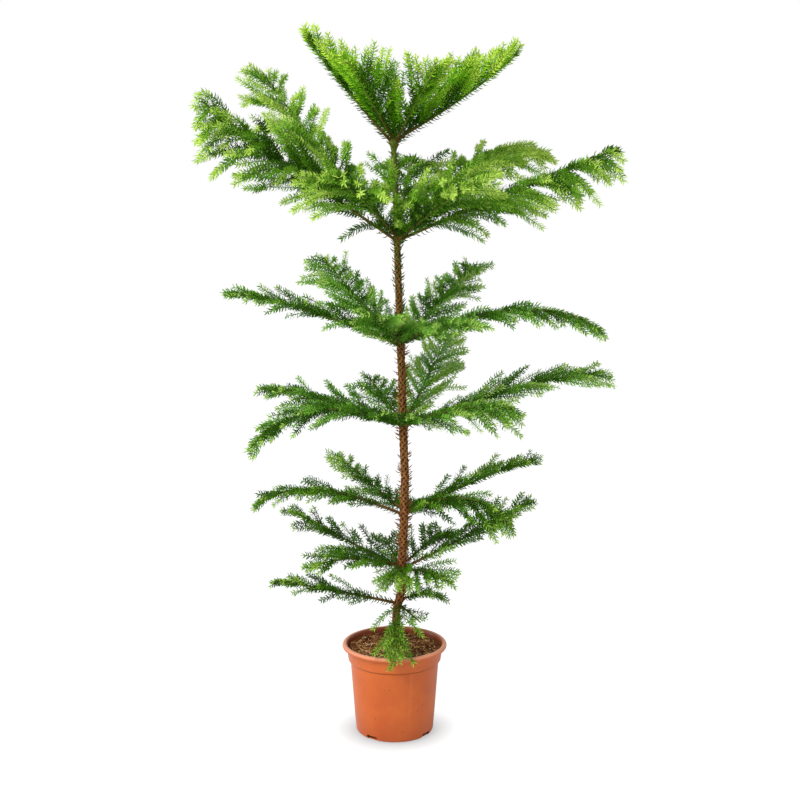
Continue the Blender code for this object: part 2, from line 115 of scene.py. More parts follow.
@dataclass(frozen=True)
class Branch:
    """One branch: where it points, how far it reaches and how it climbs and nods."""

    side: str
    azimuth: float
    reach: float
    climb: float
    nod: float = 0.0
    bough: float = 0.0
    twig: float = 1.0
    blunt: bool = False


@dataclass(frozen=True)
class Rule:
    """The numbers of the seeded rule that lays out twigs along a branch."""

    seat_gap: float = 0.0003
    clearance: float = 0.0012
    spray_height: float = 0.0045
    pot_clearance: float = 0.0095
    axis_samples: int = 28
    stagger: float = 0.004
    root_step: float = 0.0001
    root_lookahead: float = 0.006
    direction_step: float = 0.004
    bough_root_radius: float = 0.0036
    stem_root_radius: float = 0.0026
    stem_tip_radius: float = 0.0014
    stem_end: float = 0.93
    last_twig: float = 0.87
    rank_offset: float = 0.18
    root_twig_share: float = 0.50
    root_twig_growth: float = 2.2
    tip_twig_share: float = 0.58
    longest_twig_place: float = 0.35
    twig_spread: float = math.radians(52.0)
    forward_bend: float = 0.28
    shortest_twig: float = 0.016
    shorten: float = 0.8
    length_jitter: float = 0.16
    lift_jitter: float = 14.0
    droop_jitter: float = 0.6
    blunt_end: float = 0.96
    soil_height: float = 0.2005
    pot_height: float = 0.2100
    lip_radius: float = 0.1145


RULE = Rule()

TIERS: dict[Tier, tuple[Branch, ...]] = {
    Tier("t1", 1.344, twig=0.085, spacing=0.076, half_width=0.0220, lift=34.0, droop=0.05): (
        Branch("left", 186, 0.200, 0.225, nod=-0.012, bough=0.16),
        Branch("front_left", 236, 0.175, 0.165),
        Branch("front_right", 303, 0.160, 0.155),
        Branch("right", 4, 0.280, 0.165, nod=-0.032, bough=0.16),
        Branch("right_upper", 42, 0.250, 0.195, bough=0.16),
        Branch("back", 115, 0.180, 0.165),
    ),
    Tier("t2", 1.135, twig=0.150, spacing=0.096, half_width=0.0260, lift=10.0, droop=0.50): (
        Branch("left", 194, 0.435, 0.290, nod=-0.015, bough=0.17),
        Branch("left_back", 140, 0.420, 0.345, nod=-0.040, bough=0.17),
        Branch("back", 80, 0.230, 0.260, nod=0.070, bough=0.30, blunt=True),
        Branch("back_right", 42, 0.460, 0.360, nod=0.175),
        Branch("right", 359, 0.490, 0.215, nod=0.010, bough=0.17),
        Branch("front_left", 245, 0.300, 0.155, nod=0.030),
        Branch("front_right", 305, 0.290, 0.150, nod=0.025),
    ),
    Tier("t3", 0.903, twig=0.092, spacing=0.088, half_width=0.0205, lift=14.0, droop=0.34): (
        Branch("left", 186, 0.390, 0.165, nod=0.045, bough=0.15),
        Branch("left_back", 125, 0.330, 0.160, nod=-0.020),
        Branch("back_right", 60, 0.370, 0.185, nod=0.020),
        Branch("right", 349, 0.455, 0.185, nod=0.157, bough=0.13),
        Branch("front_left", 257, 0.220, 0.090),
        Branch("front_right", 303, 0.270, 0.090, nod=0.035),
    ),
    Tier("t4", 0.719, twig=0.098, spacing=0.094, half_width=0.0200, lift=10.0, droop=0.24): (
        Branch("left_back", 160, 0.350, 0.110, nod=0.040),
        Branch("left", 200, 0.360, 0.120, nod=0.160, bough=0.15),
        Branch("back", 70, 0.350, 0.185, nod=0.005),
        Branch("back_left", 112, 0.220, 0.080),
        Branch("right", 10, 0.475, 0.160, nod=0.048, bough=0.13),
        Branch("front_right", 332, 0.280, 0.095, nod=0.040),
        Branch("front", 262, 0.110, 0.045),
    ),
    Tier("t5", 0.515, twig=0.080, spacing=0.082, half_width=0.0165, lift=14.0, droop=0.16): (
        Branch("left", 190, 0.342, 0.150, nod=0.110, bough=0.15),
        Branch("left_back", 130, 0.262, 0.095),
        Branch("right", 20, 0.336, 0.135, nod=0.030, bough=0.15),
        Branch("front_right", 331, 0.276, 0.128, nod=0.138),
        Branch("back", 75, 0.160, 0.020, nod=0.030),
    ),
    Tier("t6", 0.388, twig=0.080, spacing=0.090, half_width=0.0160, lift=18.0, droop=0.14): (
        Branch("left", 158, 0.292, 0.116),
        Branch("left_front", 203, 0.228, 0.070, nod=0.055),
        Branch("right", 16, 0.320, 0.130, nod=-0.010, bough=0.15),
        Branch("back_right", 52, 0.160, 0.050),
        Branch("front_right", 312, 0.150, 0.025, nod=0.020),
        Branch("front", 256, 0.095, -0.005, nod=0.015),
        Branch("back_left", 108, 0.130, 0.045),
    ),
    Tier("t7", 0.306, twig=0.062, spacing=0.066, half_width=0.0150, lift=12.0, droop=0.14): (
        Branch("left", 187, 0.288, 0.072, nod=0.008, bough=0.18),
        Branch("right", 4, 0.108, 0.036, nod=0.040, twig=0.55),
        Branch("front_right", 312, 0.078, -0.028, twig=0.6),
        Branch("front", 266, 0.142, -0.045, nod=0.070, twig=1.15),
    ),
}


@dataclass(frozen=True)
class TrunkLine:
    """The trunk's middle line: height, lean towards +X and radius of each ring."""

    cut_height: float = 0.2008
    flare_radius: float = 0.0122
    flare_height: float = 0.006
    rings: tuple[Triple, ...] = (
        (0.204, 0.0035, 0.0100), (0.240, 0.0030, 0.0090), (0.285, 0.0040, 0.0088),
        (0.312, 0.0110, 0.0098), (0.345, 0.0185, 0.0093), (0.388, 0.0160, 0.0096),
        (0.430, 0.0190, 0.0091), (0.515, 0.0222, 0.0096), (0.600, 0.0238, 0.0088),
        (0.719, 0.0190, 0.0094), (0.810, 0.0172, 0.0082), (0.903, 0.0140, 0.0088),
        (1.010, 0.0100, 0.0074), (1.118, 0.0064, 0.0070), (1.135, 0.0060, 0.0090),
        (1.160, 0.0050, 0.0066), (1.250, 0.0015, 0.0058), (1.328, -0.0008, 0.0060),
        (1.344, -0.0010, 0.0102), (1.356, -0.0010, 0.0060), (1.368, -0.0010, 0.0022),
    )

    def columns(self) -> tuple[Array, Array, Array]:
        """Heights, leans and radii of the rings, as arrays."""
        table = np.array(self.rings)
        return table[:, 0], table[:, 1], table[:, 2]

    def middle(self, height: float) -> Vector:
        """Middle of the trunk at a height."""
        heights, leans, _ = self.columns()
        return Vector((float(np.interp(height, heights, leans)), 0.0, height))

    def gaps(self, points: Array) -> Array:
        """Distance of points from the bark.

        Args:
            points: Points, one row each.

        Returns:
            The distance of each point, negative inside the trunk.
        """
        heights, leans, radii = self.columns()
        middles = np.column_stack([leans, np.zeros(len(leans)), heights])
        spans = middles[1:] - middles[:-1]
        offsets = points[:, None, :] - middles[None, :-1, :]
        shares = np.clip((offsets * spans).sum(axis=2) / (spans**2).sum(axis=1), 0.0, 1.0)
        distances = np.linalg.norm(offsets - shares[:, :, None] * spans, axis=2)
        return (distances - radii[:-1] - shares * (radii[1:] - radii[:-1])).min(axis=1)


TRUNK = TrunkLine()


class Axis:
    """The middle line of a branch, from the middle of the trunk to the branch's tip."""

    def __init__(self, tier: Tier, branch: Branch, index: int) -> None:
        """Lays out the line.

        Args:
            tier: The whorl that the branch is in.
            branch: The branch.
            index: Its number in the whorl, which staggers its height.
        """
        self.tier = tier
        self.branch = branch
        self.label = f"{tier.name}_{branch.side}"
        stagger = RULE.stagger if index % 2 else -RULE.stagger
        self.root = TRUNK.middle(tier.height + stagger)
        angle = math.radians(branch.azimuth)
        self.outward = Vector((math.cos(angle), math.sin(angle), 0.0))
        self.across = Vector((-math.sin(angle), math.cos(angle), 0.0))
        shares = [i / (RULE.axis_samples - 1) for i in range(RULE.axis_samples)]
        self.samples = np.array([self.point(share) for share in shares])
        self.length = float(np.linalg.norm(np.diff(self.samples, axis=0), axis=1).sum())

    def point(self, share: float) -> Vector:
        """Point of the line at a share of the reach."""
        rise = self.branch.climb * share - self.branch.nod * share**3
        return self.root + self.outward * (self.branch.reach * share) + UP * rise

    def direction(self, share: float) -> Vector:
        """Unit direction of the line at a share of the reach."""
        ahead, behind = share + RULE.direction_step, share - RULE.direction_step
        return (self.point(ahead) - self.point(behind)).normalized()

    def up(self, share: float) -> Vector:
        """Unit direction square to the line, in the upright plane it lies in, pointing up."""
        up = self.across.cross(self.direction(share)).normalized()
        return up if up.z >= 0.0 else -up

    def root_share(self, radius: float, below: float) -> float:
        """Finds where a limb leaves the bark.

        Args:
            radius: How far the limb goes up and aside of its line.
            below: How far it goes below it.

        Returns:
            The share of the reach at which it is clear of the trunk.
        """
        share = 0.0
        gap = -1.0
        while gap < RULE.seat_gap:
            share += RULE.root_step / self.branch.reach
            up = self.up(share)
            ahead = self.point(share + RULE.root_lookahead / self.branch.reach)
            root = self.point(share)
            rim = [root + up * radius, root - up * below, root + self.across * radius]
            rim += [root - self.across * radius, ahead + up * radius, ahead - up * below]
            gap = TRUNK.gaps(np.array(rim)).min()
        return share

    def start(self) -> float:
        """Finds where the mass of sprays begins.

        Returns:
            The share of the reach.
        """
        if self.branch.bough:
            return self.branch.bough + RULE.seat_gap / self.length
        return self.root_share(RULE.stem_root_radius, 0.0)


AXES = [Axis(tier, branch, i) for tier, row in TIERS.items() for i, branch in enumerate(row)]
ALL_SAMPLES = np.array([axis.samples for axis in AXES])


def keeps_to_its_space(number: int, points: Array, half_width: float, margin: float) -> bool:
    """Tests whether a twig stays nearer its own branch than any other and clear of trunk and pot.

    Args:
        number: The branch's place in AXES.
        points: Points along the twig, one row each.
        half_width: How far its needles stand out.
        margin: How much nearer its own branch it must be than any other, less than 0 to let it cross over.

    Returns:
        True where it has room.
    """
    gaps = np.sqrt(((points[None, :, None, :] - ALL_SAMPLES[:, None, :, :]) ** 2).sum(axis=3)).min(axis=2)
    rivals = np.delete(gaps, number, axis=0)
    if np.any(rivals < gaps[number] + margin):
        return False
    if TRUNK.gaps(points).min() < half_width + RULE.clearance:
        return False
    radii = np.hypot(points[:, 0], points[:, 1])
    floor = np.where(radii < RULE.lip_radius - RULE.pot_clearance, RULE.soil_height, RULE.pot_height)
    above = points[:, 2] > floor + RULE.spray_height
    return bool(np.all(above | (radii > RULE.lip_radius + RULE.pot_clearance)))


# ---- how each tier is dressed
@dataclass(frozen=True)
class Dress:
    """How finely a tier is grown and how it is coloured.

    pair_spacing is the length of limb for each pair of finer twigs, and lift_jitter how far their lift
    swings, in degrees. A needle has its length and width, and pitch and limb_pitch are the length of twig
    and of limb for each. shares deals the greens out to the twigs. Past young_end of a twig its needles are
    younger, and outer_young is the share of the outer twigs that are younger all over. limb_young makes
    a limb's needles younger. margin is how much nearer its own branch than any other a twig must be.
    """

    pair_spacing: float
    lift_jitter: float
    needle: float
    width: float
    pitch: float
    limb_pitch: float
    greens: dict[Tint, Colour]
    shares: dict[Tint, float]
    young_end: float
    margin: float
    outer_young: float
    limb_young: float = 0.15


def greens(*colours: tuple[int, int, int]) -> dict[Tint, Colour]:
    """Greens of a tier, given as display colours from old to young."""
    return {tint: paint(*colour) for tint, colour in zip(Tint, colours)}


FRESH = greens((50, 102, 2), (99, 165, 12), (146, 206, 40), (194, 230, 78))
FULL = greens((52, 98, 6), (94, 150, 26), (136, 188, 56), (188, 222, 94))
HALF = greens((54, 100, 10), (80, 138, 26), (120, 178, 60), (168, 208, 94))
OLD = greens((47, 90, 2), (72, 126, 12), (110, 164, 38), (156, 198, 72))
BRIGHT = {Tint.DEEP: 0.20, Tint.MID: 0.48, Tint.LIGHT: 0.32}
SHADED = {Tint.DEEP: 0.36, Tint.MID: 0.42, Tint.LIGHT: 0.22}
TOP_DRESS = Dress(
    pair_spacing=0.0150, lift_jitter=30.0, needle=0.0135, width=0.0026, pitch=0.00120,
    limb_pitch=0.0016, greens=FRESH, shares=BRIGHT, young_end=0.74, margin=-0.030, outer_young=0.6,
    limb_young=0.0,
)
WIDE_DRESS = replace(
    TOP_DRESS, pair_spacing=0.0165, lift_jitter=40.0, needle=0.0145, width=0.0028, pitch=0.00105,
    limb_pitch=0.0040, greens=FULL, young_end=0.80, outer_young=0.7,
)
MIDDLE_DRESS = Dress(
    pair_spacing=0.0165, lift_jitter=34.0, needle=0.0126, width=0.0026, pitch=0.00122,
    limb_pitch=0.0016, greens=HALF, shares=SHADED, young_end=0.88, margin=-0.016, outer_young=0.2,
)
LOW_DRESS = replace(
    MIDDLE_DRESS, pair_spacing=0.0175, lift_jitter=32.0, needle=0.0122, pitch=0.00125, greens=OLD,
    young_end=0.90, margin=-0.010, outer_young=0.15,
)
FOOT_DRESS = replace(
    LOW_DRESS, pair_spacing=0.0165, lift_jitter=30.0, needle=0.0118, width=0.0024, young_end=0.89
)
DRESS_ORDER = (TOP_DRESS, WIDE_DRESS, MIDDLE_DRESS, MIDDLE_DRESS, LOW_DRESS, LOW_DRESS, FOOT_DRESS)
DRESSES = {tier.name: dress for tier, dress in zip(TIERS, DRESS_ORDER)}


@dataclass(frozen=True)
class Habit:
    """How a branch's finer twigs differ from its tier's.

    length multiplies the tier's twig, and root and end are its shares at the branch's root and tip. lift is
    added in degrees, and tilt, droop and density multiply the spread of lift, the droop and the count.
    younger moves the greens that many steps; on the back branches of the third to fifth tiers these lighter
    greens are painted sheen.
    """

    length: float = 1.0
    end: float = RULE.tip_twig_share
    lift: float = 0.0
    tilt: float = 1.0
    droop: float = 1.0
    density: float = 1.0
    younger: int = 0
    root: float = RULE.root_twig_share


HABITS: dict[str, Habit] = {
    "t1_left": Habit(tilt=1.1),
    "t1_right": Habit(lift=12.0),
    "t1_front_left": Habit(length=1.2, end=0.8),
    "t1_front_right": Habit(length=1.2, end=0.8),
    "t1_back": Habit(length=1.2, end=0.8),
    "t2_left": Habit(end=0.8, lift=-4.0, tilt=1.5, droop=1.6, density=1.25),
    "t2_left_back": Habit(length=0.82, end=0.8, lift=-6.0, tilt=0.7, droop=0.6, younger=1),
    "t2_back": Habit(length=0.85, end=0.35, tilt=0.8, droop=1.3, density=0.8),
    "t2_back_right": Habit(length=0.95, lift=-2.0, tilt=0.7, droop=1.3, younger=1),
    "t2_front_left": Habit(length=1.1, lift=24.0, tilt=0.9, droop=1.2),
    "t2_front_right": Habit(length=1.1, lift=24.0, tilt=0.9, droop=1.2),
    "t2_right": Habit(length=0.85, end=0.45, lift=-15.0, tilt=0.9, droop=1.9),
    "t3_left": Habit(length=0.8, lift=14.0),
    # painted sheen: younger lightens the greens of these back branches for the light shining on them
    "t3_left_back": Habit(length=1.1, end=0.8, lift=-8.0, tilt=0.8, density=1.3, younger=1),
    "t3_back_right": Habit(density=1.25, younger=1),
    "t3_front_left": Habit(younger=1),
    "t3_front_right": Habit(younger=1),
    "t3_right": Habit(length=0.8, lift=-20.0, tilt=0.8, droop=1.3),
    "t4_left_back": Habit(length=0.85, lift=-8.0),
    "t4_left": Habit(length=0.9, lift=-16.0),
    # painted sheen: younger lightens the greens of this back branch for the light shining on it
    "t4_back": Habit(tilt=0.8, density=1.3, younger=2),
    "t4_back_left": Habit(length=0.6),
    "t4_right": Habit(length=0.9, end=0.9, lift=-2.0, tilt=1.1, younger=1),
    "t4_front_right": Habit(length=0.9, end=0.8, lift=-32.0, droop=2.0, density=1.3, younger=1),
    "t5_left": Habit(length=0.75, lift=-22.0),
    # painted sheen: younger lightens the greens of this back branch for the light shining on it
    "t5_left_back": Habit(length=0.8, lift=-14.0, density=1.2, younger=1),
    "t5_right": Habit(length=0.8, lift=14.0, tilt=0.9, density=0.85, younger=1),
    "t5_front_right": Habit(lift=-44.0, tilt=0.8, droop=2.4, density=1.2),
    "t6_left": Habit(lift=-22.0, tilt=0.8, density=0.85),
    "t6_left_front": Habit(lift=-8.0, density=0.85),
    "t6_back_left": Habit(length=0.8),
    "t6_right": Habit(density=0.85),
    "t6_front": Habit(length=1.5, lift=-34.0, droop=4.0, density=1.6, younger=2),
    "t6_front_right": Habit(lift=-26.0, droop=3.0, density=1.2, younger=1),
    "t7_left": Habit(length=1.1, lift=-10.0, tilt=1.4, droop=1.3),
    "t7_right": Habit(lift=-8.0, tilt=0.7),
    "t7_front_right": Habit(length=0.4, tilt=0.5, density=0.5),
    "t7_front": Habit(root=-0.7, end=0.25, tilt=0.4, density=1.9, younger=1),
}


def habit_of(axis: Axis) -> Habit:
    """A branch's habit, or the tier's own where it has none."""
    return HABITS.get(axis.label, Habit())


# ---- mesh helpers
def new_object(name: str, bm: bmesh.types.BMesh) -> bpy.types.Object:
    """Turns a bmesh into an object at the origin.

    Args:
        name: The object's name.
        bm: The mesh, which is freed.

    Returns:
        The new object.
    """
    mesh = bpy.data.meshes.new(name)
    bm.to_mesh(mesh)
    bm.free()
    obj = bpy.data.objects.new(name, mesh)
    bpy.context.scene.collection.objects.link(obj)
    return obj


def object_from_arrays(name: str, verts: Array, faces: Array, smooth: bool) -> bpy.types.Object:
    """Makes one joined mesh out of many small shapes.

    Args:
        name: The object's name.
        verts: Points, one row each.
        faces: Corner numbers, one row a face, all with as many corners.
        smooth: Whether the faces are shaded round.

    Returns:
        The new object.
    """
    mesh = bpy.data.meshes.new(name)
    count, corners = faces.shape
    mesh.vertices.add(len(verts))
    mesh.vertices.foreach_set("co", verts.astype(np.float32).ravel())
    mesh.loops.add(count * corners)
    mesh.loops.foreach_set("vertex_index", faces.astype(np.int32).ravel())
    mesh.polygons.add(count)
    mesh.polygons.foreach_set("loop_start", np.arange(0, count * corners, corners, dtype=np.int32))
    mesh.polygons.foreach_set("use_smooth", np.full(count, smooth))
    mesh.update(calc_edges=True)
    mesh.validate()
    obj = bpy.data.objects.new(name, mesh)
    bpy.context.scene.collection.objects.link(obj)
    return obj


def repeated(pattern: Array, count: int, step: int) -> Array:
    """Repeats a pattern of faces for shapes that lie one after another.

    Args:
        pattern: The faces of one shape.
        count: How many shapes there are.
        step: How many points each has.

    Returns:
        The faces of all of them.
    """
    return (pattern[None, :, :] + (np.arange(count) * step)[:, None, None]).reshape(-1, pattern.shape[1])


def unit(rows: Array) -> Array:
    """Rows scaled to length one."""
    return rows / np.maximum(np.linalg.norm(rows, axis=-1, keepdims=True), 1e-9)


def eased(share: Array) -> Array:
    """Share from 0 to 1 with its ends made soft."""
    return share * share * (3.0 - 2.0 * share)


def point_rows(obj: bpy.types.Object) -> Array:
    """Reads a piece's points.

    Args:
        obj: The piece.

    Returns:
        The points, one row each.
    """
    points = np.zeros(len(obj.data.vertices) * 3)
    obj.data.vertices.foreach_get("co", points)
    return points.reshape(-1, 3)


def finish_piece(
    obj: bpy.types.Object, material: bpy.types.Material, nodes: Iterable[str]
) -> None:
    """Dresses a piece and seats it on the body.

    Args:
        obj: The piece.
        material: Its finish.
        nodes: The solids that it stands for.
    """
    obj.data.materials.clear()
    obj.data.materials.append(material)
    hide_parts(*nodes)
    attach(obj, BODY)
    LOG.info("%s: %d faces", obj.name, len(obj.data.polygons))


def turned(name: str, profile: Sequence[Pair], steps: int) -> bpy.types.Object:
    """Spins a profile of (radius, height) points into a closed turned shape.

    Args:
        name: The object's name.
        profile: The profile, from the middle, round the outside and back to the middle.
        steps: How many steps the full turn has.

    Returns:
        The new object.
    """
    bm = bmesh.new()
    verts = [bm.verts.new((radius, 0.0, height)) for radius, height in profile]
    edges = [bm.edges.new(pair) for pair in zip(verts, verts[1:])]
    bmesh.ops.spin(
        bm, geom=verts + edges, cent=(0, 0, 0), axis=(0, 0, 1), angle=math.tau, steps=steps, use_merge=True
    )
    bmesh.ops.remove_doubles(bm, verts=bm.verts, dist=1e-6)
    bmesh.ops.recalc_face_normals(bm, faces=bm.faces)
    return new_object(name, bm)


def round_shading(obj: bpy.types.Object, crease: float) -> None:
    """Shades a piece round, apart from edges sharper than an angle.

    Args:
        obj: The piece.
        crease: The angle in degrees past which an edge stays sharp.
    """
    bm = bmesh.new()
    bm.from_mesh(obj.data)
    for face in bm.faces:
        face.smooth = True
    for edge in bm.edges:
        edge.smooth = len(edge.link_faces) == 2 and edge.calc_face_angle(math.pi) < math.radians(crease)
    bm.to_mesh(obj.data)
    bm.free()


def arc(centre: Pair, radius: float, start: float, stop: float, count: int) -> list[Pair]:
    """Points of an arc in the turning plane.

    Args:
        centre: Middle of the arc, as radius and height.
        radius: The arc's own radius.
        start: First angle in degrees from outwards.
        stop: Last angle.
        count: How many points.

    Returns:
        The points as (radius, height).
    """
    angles = [math.radians(start + (stop - start) * i / (count - 1)) for i in range(count)]
    return [(centre[0] + radius * math.cos(a), centre[1] + radius * math.sin(a)) for a in angles]


# ---- materials
class NodeWork:
    """A node tree being put together."""

    def __init__(self, tree: bpy.types.NodeTree) -> None:
        """Keeps the tree that nodes are added to."""
        self.tree = tree

    def add(self, kind: str, **values: object) -> bpy.types.Node:
        """Adds a node.

        Args:
            kind: The node's type name.
            **values: Settings of the node, or of its input of that name with _ for a space.

        Returns:
            The node.
        """
        node = self.tree.nodes.new(kind)
        for key, value in values.items():
            if hasattr(node, key):
                setattr(node, key, value)
            else:
                node.inputs[key.replace("_", " ")].default_value = value
        return node

    def link(self, source: Socket, target: Socket) -> None:
        """Joins two sockets."""
        self.tree.links.new(source, target)

    def place(self) -> Socket:
        """The place on the piece, in metres."""
        return self.add("ShaderNodeTexCoord").outputs["Object"]

    def fed(self, kind: str, place: Socket, **values: object) -> bpy.types.Node:
        """Adds a node that reads a place.

        Args:
            kind: The node's type name.
            place: The place.
            **values: As for add.

        Returns:
            The node.
        """
        node = self.add(kind, **values)
        self.link(place, node.inputs["Vector"])
        return node

    def height(self, place: Socket) -> Socket:
        """The height of a place."""
        return self.fed("ShaderNodeSeparateXYZ", place).outputs["Z"]

    def compute(self, operation: str, *terms: Socket | float) -> Socket:
        """Works out a sum, product or comparison.

        Args:
            operation: What is done.
            *terms: The terms, each a socket or a number.

        Returns:
            The result's socket.
        """
        node = self.add("ShaderNodeMath", operation=operation)
        for term, socket in zip(terms, node.inputs):
            if isinstance(term, float):
                socket.default_value = term
            else:
                self.link(term, socket)
        return node.outputs[0]

    def ramp(self, source: Socket, stops: Sequence[tuple[float, Colour]]) -> Socket:
        """Turns a value into a colour.

        Args:
            source: The value.
            stops: Places from 0 to 1 and their colours.

        Returns:
            The colour socket.
        """
        node = self.add("ShaderNodeValToRGB")
        elements = node.color_ramp.elements
        elements.remove(elements[1])
        elements[0].position, elements[0].color = stops[0]
        for position, colour in stops[1:]:
            elements.new(position).color = colour
        self.link(source, node.inputs["Fac"])
        return node.outputs["Color"]

    def blend(
        self, factor: Socket | float, first: Socket | Colour, second: Socket | Colour, blend_type: str = "MIX"
    ) -> Socket:
        """Mixes two colours by a mask.

        Args:
            factor: The mask, or one share for the whole surface.
            first: Colour where the mask is 0.
            second: Colour where it is 1.
            blend_type: How they mix.

        Returns:
            The mixed colour socket.
        """
        node = self.add("ShaderNodeMix", data_type="RGBA", blend_type=blend_type)
        for value, socket in ((factor, node.inputs[0]), (first, node.inputs[6]), (second, node.inputs[7])):
            if isinstance(value, (float, tuple)):
                socket.default_value = value
            else:
                self.link(value, socket)
        return node.outputs[2]

    def spread(self, source: Socket, low: float, high: float, to_low: float, to_high: float) -> Socket:
        """Maps a value from one range to another, held at its ends.

        Args:
            source: The value.
            low: Lowest incoming value.
            high: Highest incoming value.
            to_low: What the lowest becomes.
            to_high: What the highest becomes.

        Returns:
            The mapped value socket.
        """
        node = self.add("ShaderNodeMapRange", clamp=True)
        for socket, value in zip(list(node.inputs)[1:5], (low, high, to_low, to_high)):
            socket.default_value = value
        self.link(source, node.inputs[0])
        return node.outputs[0]


def group_tree(
    name: str, inputs: dict[str, str], outputs: dict[str, str]
) -> tuple[bpy.types.NodeTree, NodeWork]:
    """Starts a node group with named sockets.

    Args:
        name: The group's name.
        inputs: Socket types by input name.
        outputs: Socket types by output name.

    Returns:
        The group and the work on it.
    """
    tree = bpy.data.node_groups.new(name, "ShaderNodeTree")
    for label, kind in inputs.items():
        tree.interface.new_socket(name=label, in_out="INPUT", socket_type=kind)
    for label, kind in outputs.items():
        tree.interface.new_socket(name=label, in_out="OUTPUT", socket_type=kind)
    return tree, NodeWork(tree)


VALUE, COLOUR, VECTOR = "NodeSocketFloat", "NodeSocketColor", "NodeSocketVector"


def mottle_group() -> bpy.types.NodeTree:
    """Cloudy change between two colours, with a mask for roughness and a fine height.

    Returns:
        The group, built once.
    """
    if "mottle" in bpy.data.node_groups:
        return bpy.data.node_groups["mottle"]
    inputs = {"Vector": VECTOR, "Scale": VALUE, "Grain Scale": VALUE, "Dark": COLOUR, "Light": COLOUR}
    tree, work = group_tree("mottle", inputs, {"Color": COLOUR, "Mask": VALUE, "Height": VALUE})
    entry, leave = work.add("NodeGroupInput"), work.add("NodeGroupOutput")
    cloud = work.add("ShaderNodeTexNoise", Detail=6.0, Roughness=0.62)
    grain = work.add("ShaderNodeTexNoise", Detail=3.0, Roughness=0.7)
    for node, scale in ((cloud, "Scale"), (grain, "Grain Scale")):
        work.link(entry.outputs["Vector"], node.inputs["Vector"])
        work.link(entry.outputs[scale], node.inputs["Scale"])
    mask = work.spread(cloud.outputs["Fac"], 0.32, 0.68, 0.0, 1.0)
    work.link(work.blend(mask, entry.outputs["Dark"], entry.outputs["Light"]), leave.inputs["Color"])
    work.link(mask, leave.inputs["Mask"])
    work.link(grain.outputs["Fac"], leave.inputs["Height"])
    return tree


def speck_group() -> bpy.types.NodeTree:
    """Sparse small specks of soil, as a mask.

    Returns:
        The group, built once.
    """
    if "specks" in bpy.data.node_groups:
        return bpy.data.node_groups["specks"]
    inputs = {"Vector": VECTOR, "Scale": VALUE, "Size": VALUE, "Sparseness": VALUE}
    tree, work = group_tree("specks", inputs, {"Mask": VALUE})
    entry, leave = work.add("NodeGroupInput"), work.add("NodeGroupOutput")
    cells = work.fed("ShaderNodeTexVoronoi", entry.outputs["Vector"], Randomness=1.0)
    work.link(entry.outputs["Scale"], cells.inputs["Scale"])
    near = work.compute("LESS_THAN", cells.outputs["Distance"], entry.outputs["Size"])
    part = work.add("ShaderNodeSeparateColor")
    work.link(cells.outputs["Color"], part.inputs[0])
    chosen = work.compute("GREATER_THAN", part.outputs[0], entry.outputs["Sparseness"])
    work.link(work.compute("MULTIPLY", near, chosen), leave.inputs["Mask"])
    return tree


def started(name: str, **values: object) -> tuple[bpy.types.Material, NodeWork, bpy.types.Node]:
    """Starts a Principled material.

    Args:
        name: The material's name.
        **values: Constant values of the shader's sockets, with _ for a space.

    Returns:
        The material, the work on its nodes and its shader.
    """
    material = bpy.data.materials.new(name)
    material.use_nodes = True
    work = NodeWork(material.node_tree)
    shader = material.node_tree.nodes["Principled BSDF"]
    for key, value in values.items():
        shader.inputs[key.replace("_", " ")].default_value = value
    return material, work, shader


def bumped(
    work: NodeWork, shader: bpy.types.Node, height: Socket, strength: float, distance: float
) -> None:
    """Feeds a height into a shader's normal.

    Args:
        work: The work on the material's nodes.
        shader: The shader.
        height: The height socket.
        strength: How strong the bump is, 0 to 1.
        distance: How high a height of 1 stands, in metres.
    """
    bump = work.add("ShaderNodeBump", Strength=strength, Distance=distance)
    work.link(height, bump.inputs["Height"])
    work.link(bump.outputs["Normal"], shader.inputs["Normal"])


@dataclass(frozen=True)
class PlainFinish:
    """A small thing's finish: one colour and a soft sheen, dealt out by spray or by piece."""

    name: str
    colour: Colour
    roughness: float = 0.55
    shine: float = 0.12

    def material(self) -> bpy.types.Material:
        """Makes the material."""
        values = {"Base_Color": self.colour, "Roughness": self.roughness, "Specular_IOR_Level": self.shine}
        return started(self.name, **values)[0]


